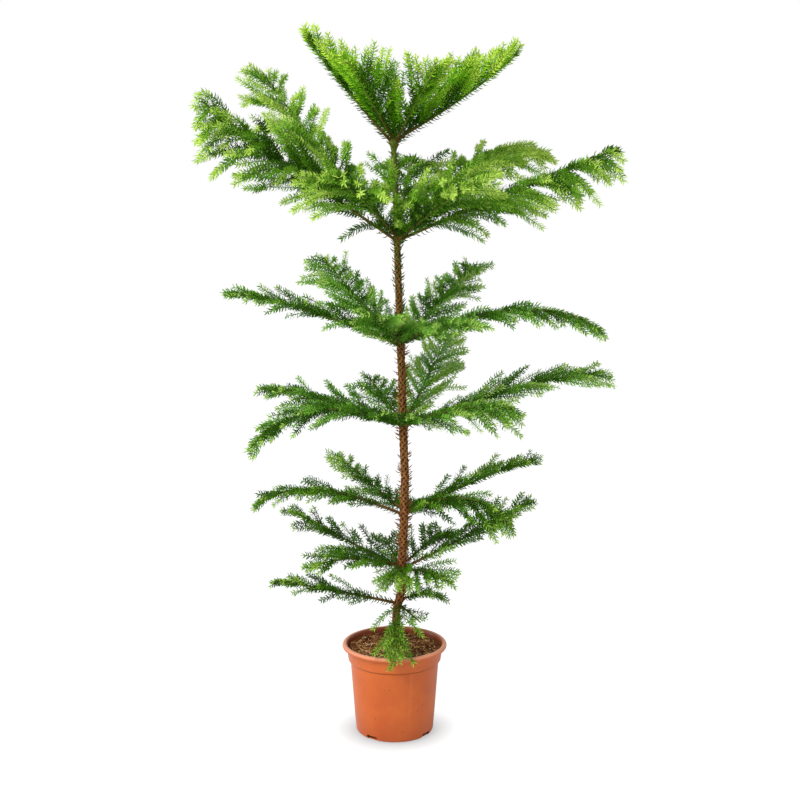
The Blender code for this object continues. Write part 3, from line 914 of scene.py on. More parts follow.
@dataclass(frozen=True)
class MouldedPlastic:
    """Matt terracotta-coloured plastic with faint streaks, scuffs and specks of soil, a painted highlight on
    the lip and painted shade at the foot, inner wall and crease lines.
    """

    name: str = "terracotta_plastic"
    dark: Colour = paint(196, 88, 26)
    light: Colour = paint(212, 104, 36)
    # soil colour of the specks on the pot, also used for painted shade in the crease lines
    dirt_and_crease_shade: Colour = paint(92, 58, 36)
    scuff: Colour = paint(226, 140, 100)
    # painted highlight: the lip is paler where it catches the light
    rim: Colour = paint(252, 182, 146)
    # painted shade on the inner wall below the lip
    inside: Colour = paint(132, 50, 12)
    # painted shade: the pot darkens towards its foot
    foot: Colour = paint(150, 62, 20)
    lip_highlight_heights: Pair = (0.2030, 0.2080)
    foot_shade_height: float = 0.07
    inner_shade_radii: Pair = (0.1106, 0.1126)
    inner_shade_heights: Pair = (0.1990, 0.2000)
    # painted shade: dark lines under the collar step and under the lip
    shaded_crease_heights: tuple[float, ...] = (0.1680, 0.1988)
    crease_shade_width: float = 0.0011
    streak_scale: Triple = (60.0, 60.0, 2.2)
    speck_kinds: tuple[Triple, ...] = ((95.0, 0.16, 0.86), (260.0, 0.20, 0.90))

    def material(self) -> bpy.types.Material:
        """Makes the material.

        Returns:
            The finished material.
        """
        material, work, shader = started(self.name, Specular_IOR_Level=0.42)
        place = work.place()
        tones = {"Scale": 11.0, "Grain_Scale": 700.0, "Dark": self.dark, "Light": self.light}
        mottle = work.fed("ShaderNodeGroup", place, node_tree=mottle_group(), **tones)
        drawn = work.fed("ShaderNodeMapping", place, Scale=self.streak_scale)
        streaks = work.fed("ShaderNodeTexNoise", drawn.outputs["Vector"], Scale=1.0, Detail=4.0)
        worn = work.spread(streaks.outputs["Fac"], 0.60, 0.80, 0.0, 0.30)
        colour = self.marked(work, place, work.blend(worn, mottle.outputs["Color"], self.scuff))
        work.link(colour, shader.inputs["Base Color"])
        work.link(work.spread(mottle.outputs["Mask"], 0.0, 1.0, 0.30, 0.42), shader.inputs["Roughness"])
        bumped(work, shader, mottle.outputs["Height"], 0.25, 0.0004)
        return material

    def marked(self, work: NodeWork, place: Socket, colour: Socket) -> Socket:
        """Paints a highlight on the lip, paints shade towards the foot, on the inner wall and in the crease
        lines, and lays soil in specks.

        Args:
            work: The work on the material's nodes.
            place: The place on the piece.
            colour: The colour so far.

        Returns:
            The colour with its marks.
        """
        height = work.height(place)
        # painted highlight on the lip
        colour = work.blend(work.spread(height, *self.lip_highlight_heights, 0.0, 0.62), colour, self.rim)
        # painted shade, darker towards the foot
        colour = work.blend(work.spread(height, 0.0, self.foot_shade_height, 0.45, 0.0), colour, self.foot)
        # painted shade on the inner wall, inside the lip's ring
        flat = work.fed("ShaderNodeVectorMath", place, operation="MULTIPLY")
        flat.inputs[1].default_value = (1.0, 1.0, 0.0)
        away = work.fed("ShaderNodeVectorMath", flat.outputs["Vector"], operation="LENGTH")
        within = work.spread(away.outputs["Value"], *self.inner_shade_radii, 0.8, 0.0)
        above = work.spread(height, *self.inner_shade_heights, 0.0, 1.0)
        colour = work.blend(work.compute("MULTIPLY", within, above), colour, self.inside)
        # painted shade in the crease lines under the collar step and the lip
        for crease in self.shaded_crease_heights:
            near = work.compute("COMPARE", height, crease, self.crease_shade_width)
            colour = work.blend(work.spread(near, 0.0, 1.0, 0.0, 0.6), colour, self.dirt_and_crease_shade)
        for scale, size, sparse in self.speck_kinds:
            values = {"Scale": scale, "Size": size, "Sparseness": sparse}
            specks = work.fed("ShaderNodeGroup", place, node_tree=speck_group(), **values)
            faint = work.spread(specks.outputs["Mask"], 0.0, 1.0, 0.0, 0.55)
            colour = work.blend(faint, colour, self.dirt_and_crease_shade)
        return colour


@dataclass(frozen=True)
class Weathering:
    """How a bark's colour changes from spot to spot: sizes, darkest and lightest share, roughness, bump."""

    scale: float
    grain_scale: float
    dark: Colour
    light: Colour
    roughness: Pair
    bump: Pair

    def shade(self, work: NodeWork, shader: bpy.types.Node, place: Socket, ground: Socket) -> Socket:
        """Weathers a colour and sets the bark's roughness and bump.

        Args:
            work: The work on the material's nodes.
            shader: The shader.
            place: The place on the piece.
            ground: The bark's own colour.

        Returns:
            The weathered colour.
        """
        tones = {"Scale": self.scale, "Grain_Scale": self.grain_scale, "Dark": self.dark, "Light": self.light}
        mottle = work.fed("ShaderNodeGroup", place, node_tree=mottle_group(), **tones)
        work.link(work.spread(mottle.outputs["Mask"], 0.0, 1.0, *self.roughness), shader.inputs["Roughness"])
        bumped(work, shader, mottle.outputs["Height"], *self.bump)
        return work.blend(1.0, ground, mottle.outputs["Color"], blend_type="MULTIPLY")


@dataclass(frozen=True)
class ScarredBark:
    """Bark with raised strands round dark leaf scars, brown below and green above."""

    name: str = "scarred_bark"
    low: Colour = paint(114, 58, 18)
    middle: Colour = paint(100, 62, 14)
    high: Colour = paint(76, 64, 8)
    green: Colour = paint(78, 112, 22)
    strand: Colour = paint(188, 128, 66)
    pit: Colour = paint(34, 14, 2)
    heights: Pair = (0.20, 1.37)
    weathering: Weathering = Weathering(
        150.0, 900.0, (0.55, 0.55, 0.55, 1.0), (1.25, 1.2, 1.15, 1.0), (0.62, 0.85), (0.5, 0.0006)
    )

    def material(self) -> bpy.types.Material:
        """Makes the material.

        Returns:
            The finished material.
        """
        material, work, shader = started(self.name, Specular_IOR_Level=0.25)
        place = work.place()
        rise = work.spread(work.height(place), *self.heights, 0.0, 1.0)
        stops = [(0.0, self.low), (0.45, self.middle), (0.74, self.high), (0.83, self.green)]
        colour = self.weathering.shade(work, shader, place, work.ramp(rise, stops))
        for mask, tone in (("strand", self.strand), ("pit", self.pit)):
            attribute = work.add("ShaderNodeAttribute", attribute_name=mask)
            colour = work.blend(attribute.outputs["Fac"], colour, tone)
        work.link(colour, shader.inputs["Base Color"])
        return material


@dataclass(frozen=True)
class LimbBark:
    """Thin bark of a limb, brown where it is old and green where it is young."""

    name: str
    old: Colour
    young: Colour
    fresh: Colour
    weathering: Weathering = Weathering(
        220.0, 1200.0, (0.62, 0.62, 0.62, 1.0), (1.2, 1.2, 1.15, 1.0), (0.5, 0.75), (0.4, 0.0003)
    )

    def material(self) -> bpy.types.Material:
        """Makes the material.

        Returns:
            The finished material.
        """
        material, work, shader = started(self.name, Specular_IOR_Level=0.3)
        age = work.add("ShaderNodeAttribute", attribute_name="age")
        ground = work.ramp(age.outputs["Fac"], [(0.0, self.old), (0.45, self.young), (1.0, self.fresh)])
        colour = self.weathering.shade(work, shader, work.place(), ground)
        work.link(colour, shader.inputs["Base Color"])
        return material


@dataclass(frozen=True)
class PottingMix:
    """Dark brown peat with lighter crumbs."""

    name: str = "potting_mix"
    dark: Colour = paint(36, 16, 4)
    light: Colour = paint(162, 106, 60)
    crumb: Colour = paint(214, 172, 118)

    def material(self) -> bpy.types.Material:
        """Makes the material.

        Returns:
            The finished material.
        """
        material, work, shader = started(self.name, Roughness=0.92, Specular_IOR_Level=0.2)
        place = work.place()
        tones = {"Scale": 95.0, "Grain_Scale": 420.0, "Dark": self.dark, "Light": self.light}
        mottle = work.fed("ShaderNodeGroup", place, node_tree=mottle_group(), **tones)
        values = {"Scale": 330.0, "Size": 0.28, "Sparseness": 0.80}
        crumbs = work.fed("ShaderNodeGroup", place, node_tree=speck_group(), **values)
        colour = work.blend(crumbs.outputs["Mask"], mottle.outputs["Color"], self.crumb)
        work.link(colour, shader.inputs["Base Color"])
        bumped(work, shader, mottle.outputs["Height"], 0.8, 0.002)
        return material


@dataclass(frozen=True)
class StudioFloor:
    """Plain pale floor, lifted where it is seen, but less close to what stands on it, for a soft shadow."""

    name: str = "pale_floor"
    colour: Colour = (0.95, 0.95, 0.95, 1.0)
    seen_colour: Colour = (0.16, 0.16, 0.16, 1.0)
    lift: float = 0.95
    contact_lift: float = 0.52
    contact: float = 0.075
    openness: Pair = (0.5, 0.96)

    def material(self) -> bpy.types.Material:
        """Makes the material.

        Returns:
            The finished material.
        """
        material, work, shader = started(self.name, Roughness=0.9, Specular_IOR_Level=0.0)
        shader.inputs["Emission Color"].default_value = (1.0, 1.0, 1.0, 1.0)
        seen = work.add("ShaderNodeLightPath").outputs["Is Camera Ray"]
        work.link(work.blend(seen, self.colour, self.seen_colour), shader.inputs["Base Color"])
        near = work.add("ShaderNodeAmbientOcclusion", samples=16, Distance=self.contact)
        open_floor = work.spread(near.outputs["AO"], *self.openness, self.contact_lift, self.lift)
        work.link(work.compute("MULTIPLY", seen, open_floor), shader.inputs["Emission Strength"])
        return material


# ---- pot
@dataclass
class Pot:
    """The nursery pot: tapering wall, stepped collar, rolled lip, drain notches in the foot."""

    steps: int = 144
    wall: float = 0.0025
    floor: float = 0.003
    foot_radius: float = 0.0815
    foot_corner: float = 0.008
    wall_foot: float = 0.0895
    wall_top: float = 0.1018
    collar_foot: float = 0.1068
    collar_top: float = 0.1100
    collar_height: float = 0.171
    collar_step: float = 0.004
    fillet: float = 0.0016
    lip_ring: float = 0.1145
    lip_bead: float = 0.0058
    lip_height: float = 0.2042
    lip_neck: float = 0.0022
    notches: int = 4
    first_notch: float = 54.0
    notch_width: float = 0.028
    notch_height: float = 0.0110
    notch_depth: float = 0.015
    notch_corner: float = 0.003
    crease: float = 38.0

    def wall_radius(self, height: float) -> float:
        """Outer radius of the tapering wall at a height."""
        return self.wall_foot + (self.wall_top - self.wall_foot) * height / self.collar_height

    def profile(self) -> list[Pair]:
        """Lays out the section of the pot.

        Returns:
            Points from the middle of the underside, round the outside and lip, to the middle of the floor.
        """
        low = self.collar_height - self.collar_step
        lip_foot = self.lip_height - self.lip_bead
        points = [(0.0, 0.0), (0.5 * self.foot_radius, 0.0)]
        points += arc((self.foot_radius, self.foot_corner), self.foot_corner, -90.0, 0.0, 8)
        points += [(self.wall_radius(0.25 * low * i), 0.25 * low * i) for i in (1, 2, 3)]
        points += arc((self.wall_radius(low) + self.fillet, low - self.fillet), self.fillet, 180.0, 110.0, 4)
        edge = (self.collar_foot - self.fillet, self.collar_height + self.fillet)
        points += arc(edge, self.fillet, -70.0, 0.0, 5)
        points += [(self.collar_top, lip_foot - self.lip_neck)]
        points += arc((self.lip_ring, self.lip_height), self.lip_bead, -120.0, 165.0, 22)
        points += [
            (self.collar_top - self.wall, lip_foot),
            (self.collar_foot - self.wall, self.collar_height + self.wall),
            (self.wall_radius(self.collar_height) - self.wall, low + self.wall),
            (self.wall_radius(self.floor) - self.wall, self.floor),
            (0.0, self.floor),
        ]
        return points

    def notch_tool(self) -> bpy.types.Object:
        """Makes the rounded blocks that cut the drain notches.

        Returns:
            One object with every block.
        """
        bm = bmesh.new()
        for index in range(self.notches):
            angle = math.radians(self.first_notch + index * 360.0 / self.notches)
            block = bmesh.ops.create_cube(bm, size=1.0)["verts"]
            sides = (self.notch_depth, self.notch_width, 2.0 * self.notch_height)
            bmesh.ops.scale(bm, verts=block, vec=sides)
            bmesh.ops.translate(bm, verts=block, vec=(self.wall_foot, 0.0, 0.0))
            spans = {e: abs((e.verts[0].co - e.verts[1].co).x) for v in block for e in v.link_edges}
            edges = [edge for edge, reach in spans.items() if reach > 0.5 * self.notch_depth]
            made = bmesh.ops.bevel(
                bm,
                geom=edges,
                offset=self.notch_corner,
                affect="EDGES",
                segments=4,
                profile=0.5,
                material=-1,
            )
            whole = list({v for f in made["faces"] for v in f.verts} | {v for v in block if v.is_valid})
            bmesh.ops.rotate(bm, verts=whole, cent=(0.0, 0.0, 0.0), matrix=Matrix.Rotation(angle, 3, UP))
        bmesh.ops.recalc_face_normals(bm, faces=bm.faces)
        return new_object("notch_tool", bm)

    def build(self) -> bpy.types.Object:
        """Turns the pot and cuts its notches.

        Returns:
            The pot's shell.
        """
        pot = turned("pot_shell", self.profile(), self.steps)
        tool = self.notch_tool()
        cut = pot.modifiers.new("notches", "BOOLEAN")
        cut.operation, cut.object, cut.solver = "DIFFERENCE", tool, "EXACT"
        graph = bpy.context.evaluated_depsgraph_get()
        shape = bpy.data.meshes.new_from_object(pot.evaluated_get(graph))
        pot.modifiers.clear()
        pot.data = shape
        bpy.data.objects.remove(tool, do_unlink=True)
        round_shading(pot, self.crease)
        return pot

    def dress(self) -> None:
        """Builds the pot and gives it its finish."""
        finish_piece(self.build(), MouldedPlastic().material(), ["pot"])


# ---- potting mix
@dataclass
class Soil:
    """The potting mix: a crumbly mound with coir strands, bark chips and grains of perlite."""

    edge_radius: float = 0.1067
    edge_height: float = 0.1985
    middle_height: float = 0.2005
    middle_radius: float = 0.035
    foot: float = 0.165
    foot_radius: float = 0.0985
    core_radius: float = 0.0800
    core_foot: float = 0.0035
    rings: int = 46
    steps: int = 180
    crease: float = 50.0
    roughness: float = 0.0040
    crumb_scale: float = 60.0
    calm_radius: float = 0.014
    calm_width: float = 0.010
    sunk: float = 0.0004
    strands: int = 520
    strand_ring: Pair = (0.016, 0.096)
    strand_limit: float = 0.1035
    strand_knots: int = 6
    strand_curl: float = 1.3
    strand_length: Pair = (0.009, 0.034)
    strand_radius: Pair = (0.00040, 0.00115)
    strand_hump: Pair = (0.0002, 0.0026)
    strand_lift: float = 0.0002
    chips: int = 300
    chip_ring: Pair = (0.016, 0.099)
    chip_sides: tuple[Pair, Pair, Pair] = ((0.004, 0.013), (0.0020, 0.0055), (0.0008, 0.0022))
    chip_chipping: Pair = (0.7, 1.15)
    chip_tilt: float = 0.5
    chip_lift: float = 0.0006
    grains: int = 110
    grain_ring: Pair = (0.018, 0.099)
    grain_radius: Pair = (0.0007, 0.0019)
    grain_dents: Pair = (0.75, 1.2)
    grain_lift: float = 0.4
    seed: int = 11

    def height(self, x: Array, y: Array) -> Array:
        """Height of the crumbly surface.

        Args:
            x: Places along X.
            y: Places along Y.

        Returns:
            The height at each place.
        """
        radii = np.hypot(x, y)
        share = np.clip((radii - self.middle_radius) / (self.edge_radius - self.middle_radius), 0.0, 1.0)
        smooth = self.middle_height + (self.edge_height - self.middle_height) * share
        scale = self.crumb_scale
        crumbs = np.array([noise.fractal((a * scale, b * scale, 3.0), 0.7, 2.2, 5) for a, b in zip(x, y)])
        calm = np.clip((radii - self.calm_radius) / self.calm_width, 0.0, 1.0)
        return smooth + self.roughness * crumbs * calm - self.sunk

    def mound(self) -> bpy.types.Object:
        """Turns the mound and roughens its top.

        Returns:
            The mound.
        """
        top = [(self.edge_radius * i / self.rings, self.edge_height) for i in range(self.rings + 1)]
        core = [(self.foot_radius, self.foot), (self.core_radius, self.core_foot), (0.0, self.core_foot)]
        obj = turned("soil_mound", top + core, self.steps)
        points = point_rows(obj)
        upper = points[:, 2] > self.edge_height - 1e-4
        points[upper, 2] = self.height(points[upper, 0], points[upper, 1])
        obj.data.vertices.foreach_set("co", points.astype(np.float32).ravel())
        round_shading(obj, self.crease)
        return obj

    def scattered(self, rng: np.random.Generator, count: int, ring: Pair) -> tuple[Array, Array]:
        """Scatters places evenly over the mound.

        Args:
            rng: The seeded generator.
            count: How many places.
            ring: Smallest and largest radius.

        Returns:
            Places along X and along Y.
        """
        radii = np.sqrt(rng.uniform(ring[0] ** 2, ring[1] ** 2, count))
        angles = rng.uniform(0.0, math.tau, count)
        return radii * np.cos(angles), radii * np.sin(angles)

    def strand_lines(self, rng: np.random.Generator) -> tuple[Array, Array]:
        """Lays coir strands on the mound.

        Args:
            rng: The seeded generator.

        Returns:
            Points along each strand, and its radii there.
        """
        x, y = self.scattered(rng, self.strands, self.strand_ring)
        heading = rng.uniform(0.0, math.tau, self.strands)
        curl = rng.uniform(-self.strand_curl, self.strand_curl, self.strands)
        length = rng.uniform(*self.strand_length, self.strands)
        thick = rng.uniform(*self.strand_radius, self.strands)
        places = np.linspace(-0.5, 0.5, self.strand_knots)
        bearings = heading[:, None] + curl[:, None] * places[None, :]
        lines_x = x[:, None] + np.cos(bearings) * length[:, None] * places[None, :]
        lines_y = y[:, None] + np.sin(bearings) * length[:, None] * places[None, :]
        radii = np.hypot(lines_x, lines_y)
        squeeze = np.minimum(1.0, self.strand_limit / np.maximum(radii, 1e-6))
        lines_x, lines_y = lines_x * squeeze, lines_y * squeeze
        base = self.height(lines_x.ravel(), lines_y.ravel()).reshape(lines_x.shape)
        hump = rng.uniform(*self.strand_hump, self.strands)[:, None] * (1.0 - (2.0 * places[None, :]) ** 2)
        lines = np.stack([lines_x, lines_y, base + hump + self.strand_lift], axis=2)
        taper = 1.0 - 0.5 * np.abs(2.0 * places[None, :])
        return lines, thick[:, None] * taper

    def chip_blocks(self, rng: np.random.Generator) -> tuple[Array, Array]:
        """Lays flat bark chips on the mound.

        Args:
            rng: The seeded generator.

        Returns:
            Points and faces of every chip.
        """
        x, y = self.scattered(rng, self.chips, self.chip_ring)
        size = np.column_stack([rng.uniform(*side, self.chips) for side in self.chip_sides])
        corners = np.array([(a, b, c) for a in (-1, 1) for b in (-1, 1) for c in (-1, 1)], float) * 0.5
        shape = corners[None] * size[:, None, :] * rng.uniform(*self.chip_chipping, (self.chips, 8, 3))
        yaw = rng.uniform(0.0, math.tau, self.chips)[:, None]
        tilt = rng.uniform(-self.chip_tilt, self.chip_tilt, self.chips)[:, None]
        length, width, thickness = shape[:, :, 0], shape[:, :, 1], shape[:, :, 2]
        raised = thickness + length * np.sin(tilt)
        turned_x = length * np.cos(yaw) - width * np.sin(yaw)
        turned_y = length * np.sin(yaw) + width * np.cos(yaw)
        spun = np.stack([turned_x, turned_y, raised], axis=2)
        base = self.height(x, y) + self.chip_lift
        verts = spun + np.column_stack([x, y, base])[:, None, :]
        quads = np.array([(0, 1, 3, 2), (4, 6, 7, 5), (0, 4, 5, 1), (2, 3, 7, 6), (0, 2, 6, 4), (1, 5, 7, 3)])
        return verts.reshape(-1, 3), repeated(quads, self.chips, len(corners))

    def perlite(self, rng: np.random.Generator) -> tuple[Array, Array]:
        """Lays small white grains on the mound.

        Args:
            rng: The seeded generator.

        Returns:
            Points and faces of every grain.
        """
        ball = bmesh.new()
        bmesh.ops.create_icosphere(ball, subdivisions=1, radius=1.0)
        points = np.array([v.co[:] for v in ball.verts])
        faces = np.array([[v.index for v in f.verts] for f in ball.faces])
        ball.free()
        x, y = self.scattered(rng, self.grains, self.grain_ring)
        size = rng.uniform(*self.grain_radius, self.grains)
        dents = rng.uniform(*self.grain_dents, (self.grains, len(points), 1))
        shape = points[None] * size[:, None, None] * dents
        base = self.height(x, y) + self.grain_lift * size
        verts = shape + np.column_stack([x, y, base])[:, None, :]
        return verts.reshape(-1, 3), repeated(faces, self.grains, len(points))

    def dress(self) -> None:
        """Builds the mound and what lies on it, and gives each its finish."""
        rng = np.random.default_rng(self.seed)
        finish_piece(self.mound(), PottingMix().material(), ["soil"])
        lines, radii = self.strand_lines(rng)
        half = self.strands // 2
        pale = tubes("coir_pale", lines[:half], radii[:half])
        brown = tubes("coir_brown", lines[half:], radii[half:])
        chips = object_from_arrays("bark_chips", *self.chip_blocks(rng), smooth=False)
        grains = object_from_arrays("perlite", *self.perlite(rng), smooth=False)
        finishes = (
            (pale, PlainFinish("coir_pale_finish", paint(232, 184, 124), 0.85)),
            (brown, PlainFinish("coir_brown_finish", paint(158, 102, 56), 0.85)),
            (chips, PlainFinish("chip_finish", paint(92, 52, 26), 0.9)),
            (grains, PlainFinish("perlite_finish", paint(236, 216, 180), 0.9)),
        )
        for obj, finish in finishes:
            finish_piece(obj, finish.material(), ["soil"])


def tubes(name: str, lines: Array, radii: Array) -> bpy.types.Object:
    """Makes many thin three-sided tubes as one joined mesh.

    Args:
        name: The object's name.
        lines: Points along each tube, as tubes by points by three.
        radii: The radius at each point.

    Returns:
        The new object.
    """
    count, knots, _ = lines.shape
    along = unit(np.gradient(lines, axis=1))
    helper = np.where(np.abs(along[:, :, 2:3]) > 0.9, np.array([1.0, 0.0, 0.0]), np.array([0.0, 0.0, 1.0]))
    side = unit(np.cross(along, helper))
    top = np.cross(side, along)
    turns = [math.tau * i / 3 for i in range(3)]
    rings = [lines + radii[:, :, None] * (side * math.cos(t) + top * math.sin(t)) for t in turns]
    verts = np.stack(rings, axis=2).reshape(-1, 3)
    pattern = []
    for knot in range(knots - 1):
        for i in range(3):
            a, b = 3 * knot + i, 3 * knot + (i + 1) % 3
            pattern += [(a, b, b + 3), (a, b + 3, a + 3)]
    last = 3 * (knots - 1)
    pattern += [(0, 2, 1), (last, last + 1, last + 2)]
    return object_from_arrays(name, verts, repeated(np.array(pattern), count, 3 * knots), smooth=True)


# ---- bark
@dataclass(frozen=True)
class Relief:
    """Diamond relief of bark: raised strands round a sunken leaf scar."""

    around: int
    pitch: float
    strand_width: float
    strand_rise: float
    pit_size: float
    pit_depth: float
    wander: float = 0.10
    waves: Triple = (3.0, 7.3, 5.1)

    def masks(self, angles: Array, lengths: Array) -> tuple[Array, Array]:
        """Works out the relief.

        Args:
            angles: Angle round the limb of each point, in radians.
            lengths: Length along it.

        Returns:
            How much of a strand and how much of a pit each point is, from 0 to 1.
        """
        slow, fast, rising = self.waves
        u = angles * self.around / math.tau
        v = lengths / (2.0 * self.pitch)
        u = u + self.wander * np.sin(slow * v + 2.0 * np.sin(angles)) + self.wander * np.sin(fast * v)
        v = v + self.wander * np.sin(2.0 * angles + rising * v)
        first, second = (u + v) % 1.0, (u - v) % 1.0
        edge = np.minimum(np.minimum(first, 1.0 - first), np.minimum(second, 1.0 - second))
        strand = np.clip(1.0 - edge / self.strand_width, 0.0, 1.0)
        gap = np.hypot(first - 0.5, second - 0.5)
        pit = np.clip(1.0 - gap / self.pit_size, 0.0, 1.0)
        return eased(strand), eased(pit)


def limb_mesh(
    name: str, middles: Array, rights: Array, ups: Array, radii: Array, angles: Array
) -> bpy.types.Object:
    """Wraps a grid round a line into a closed limb.

    Args:
        name: The object's name.
        middles: Middle of each ring.
        rights: Direction of angle 0 at each ring.
        ups: Direction of a quarter turn at each ring.
        radii: Radius of each point, as rings by sides.
        angles: Angle of each side, in radians.

    Returns:
        The new object, its points in order of ring, then side.
    """
    rings, sides = radii.shape
    bm = bmesh.new()
    bmesh.ops.create_grid(bm, x_segments=sides, y_segments=rings - 1, size=1.0)
    bm.verts.ensure_lookup_table()
    around = np.append(angles, angles[0])
    wide = np.concatenate([radii, radii[:, :1]], axis=1)
    shape = (
        middles[:, None, :]
        + rights[:, None, :] * (wide * np.cos(around))[:, :, None]
        + ups[:, None, :] * (wide * np.sin(around))[:, :, None]
    )
    for vert, place in zip(bm.verts, shape.reshape(-1, 3)):
        vert.co = place
    rows = [bm.verts[ring * (sides + 1) : (ring + 1) * (sides + 1)] for ring in range(rings)]
    bmesh.ops.weld_verts(bm, targetmap={row[-1]: row[0] for row in rows})
    for rim in (rows[0][:-1], rows[-1][:-1]):
        bm.faces.new(rim)
    bmesh.ops.recalc_face_normals(bm, faces=bm.faces)
    for face in bm.faces:
        face.smooth = True
    return new_object(name, bm)


def add_mask(obj: bpy.types.Object, name: str, values: Array) -> None:
    """Stores a value at each point of a piece, for its material."""
    layer = obj.data.attributes.new(name, "FLOAT", "POINT")
    layer.data.foreach_set("value", values.astype(np.float32).ravel())


@dataclass
class Trunk:
    """The trunk: bark with leaf scars, from its flare on the soil to the bud at its top."""

    sides: int = 44
    step: float = 0.0016
    relief: Relief = Relief(
        around=5, pitch=0.0068, strand_width=0.20, strand_rise=0.00070, pit_size=0.36, pit_depth=0.0016
    )
    young_height: float = 1.10
    change: float = 0.06
    young_depth: float = 0.4
    young_masks: float = 0.25
    swell: float = 0.0002
    swell_pitch: float = 910.0

    def rings(self) -> tuple[Array, Array, Array]:
        """Lays out the rings from the cut on the soil to the tip.

        Returns:
            Heights, leans and radii.
        """
        heights, leans, radii = TRUNK.columns()
        low = TRUNK.cut_height
        heights = np.concatenate([[low, low + TRUNK.flare_height / 3, low + TRUNK.flare_height], heights[1:]])
        leans = np.concatenate([[leans[0]] * 3, leans[1:]])
        flare = [TRUNK.flare_radius, 0.5 * (TRUNK.flare_radius + radii[0]), radii[0]]
        radii = np.concatenate([flare, radii[1:]])
        fine = np.linspace(low, heights[-1], int((heights[-1] - low) / self.step))
        return fine, np.interp(fine, heights, leans), np.interp(fine, heights, radii)

    def youth(self, heights: Array) -> Array:
        """How young the bark is at a height, from 0 to 1."""
        return np.clip((heights - self.young_height) / self.change, 0.0, 1.0)

    def build(self) -> bpy.types.Object:
        """Wraps the bark round the trunk's line.

        Returns:
            The trunk, with its masks.
        """
        heights, leans, radii = self.rings()
        angles = np.arange(self.sides) * math.tau / self.sides
        grid_angle, grid_height = np.meshgrid(angles, heights)
        strand, pit = self.relief.masks(grid_angle, grid_height)
        depth = 1.0 - (1.0 - self.young_depth) * self.youth(grid_height)
        wide = radii[:, None] + depth * (self.relief.strand_rise * strand - self.relief.pit_depth * pit)
        wide += self.swell * np.sin(grid_height * self.swell_pitch + 3.0 * grid_angle)
        middles = np.column_stack([leans, np.zeros(len(leans)), heights])
        rights = np.tile([1.0, 0.0, 0.0], (len(heights), 1))
        ups = np.tile([0.0, 1.0, 0.0], (len(heights), 1))
        trunk = limb_mesh("trunk_bark", middles, rights, ups, wide, angles)
        points = point_rows(trunk)
        lean = np.interp(points[:, 2], heights, leans)
        around = np.arctan2(points[:, 1], points[:, 0] - lean) % math.tau
        strand, pit = self.relief.masks(around, points[:, 2])
        fade = 1.0 - (1.0 - self.young_masks) * self.youth(points[:, 2])
        add_mask(trunk, "strand", 0.7 * strand * fade)
        add_mask(trunk, "pit", np.clip(1.4 * pit, 0.0, 1.0) * fade)
        return trunk

    def dress(self) -> None:
        """Builds the trunk and gives it its bark."""
        finish_piece(self.build(), ScarredBark().material(), ["trunk"])


# ---- needles
@dataclass
class Needles:
    """Needles gathered before they are joined: where each grows, how it points and how big it is."""

    turn: float = 52.0
    turn_rate: float = 2.4
    root_width: float = 0.8
    elbow: float = 0.52
    batches: list[tuple[Array, ...]] = field(default_factory=list)

    def add(self, keep: Array, *columns: Array) -> None:
        """Adds the needles that a mask keeps.

        Args:
            keep: Which rows are kept.
            *columns: Roots, directions along, directions out, spreads, bends, lengths and widths.
        """
        self.batches.append(tuple(column[keep] for column in columns))

    def count(self) -> int:
        """How many needles were gathered."""
        return sum(len(batch[0]) for batch in self.batches)

    def build(self, name: str) -> bpy.types.Object:
        """Joins the needles into one mesh of narrow pointed blades that bend forward.

        Args:
            name: The object's name.

        Returns:
            The new object.
        """
        roots, along, radial, *shape = (np.concatenate(column) for column in zip(*self.batches))
        spread, bend, length, width = (column[:, None] for column in shape)
        side = unit(np.cross(along, radial))
        leave = along * np.cos(spread) + radial * np.sin(spread)
        end = along * np.cos(spread - bend) + radial * np.sin(spread - bend)
        top = np.cross(side, leave)
        middle = roots + leave * (self.elbow * length)
        tip = middle + end * ((1.0 - self.elbow) * length)
        roll = np.radians(90.0 + self.turn * np.sin(self.turn_rate * np.arange(len(roots))))[:, None]
        half = (side * np.cos(roll) + top * np.sin(roll)) * (0.5 * width)
        foot = self.root_width * half
        verts = np.stack([roots + foot, roots - foot, middle - half, middle + half, tip], axis=1)
        pattern = np.array([(0, 1, 2), (0, 2, 3), (3, 2, 4)])
        return object_from_arrays(name, verts.reshape(-1, 3), repeated(pattern, len(roots), 5), smooth=True)


@dataclass(frozen=True)
class Comb:
    """How needles stand along a twig or a limb.

    closes is the share of the line past which they close on its tip. Spreads and bends are in degrees, closed
    and unbend their change at the tip. A needle's share of the usual length is first at the line's root,
    grows by growth until grown of the line, and loses shrink at the tip.
    """

    closes: float
    spread: float
    closed: float
    spread_jitter: float
    bend: float
    first: float
    growth: float
    grown: float
    shrink: float
    lengths: Pair
    widths: Pair
    unbend: float = 14.0
    mark_jitter: float = 0.08

    def lay(self, rng: np.random.Generator, share: Array, needle: float, width: float) -> tuple[Array, ...]:
        """Draws how needles stand.

        Args:
            rng: The seeded generator.
            share: Share of the line where each stands.
            needle: Their usual length.
            width: Their usual width.

        Returns:
            Spreads, bends, lengths, widths and how uneven the change of their greens is.
        """
        count = len(share)
        closing = np.clip((share - self.closes) / (1.0 - self.closes), 0.0, 1.0)
        swing = self.spread_jitter * rng.uniform(-1.0, 1.0, count)
        spread = np.radians(self.spread - self.closed * closing + swing)
        bend = np.radians(self.bend - self.unbend * closing)
        short = self.first + self.growth * np.clip(share / self.grown, 0.0, 1.0) - self.shrink * closing
        lengths = needle * short * rng.uniform(*self.lengths, count)
        widths = width * rng.uniform(*self.widths, count)
        return spread, bend, lengths, widths, self.mark_jitter * rng.uniform(-1.0, 1.0, count)


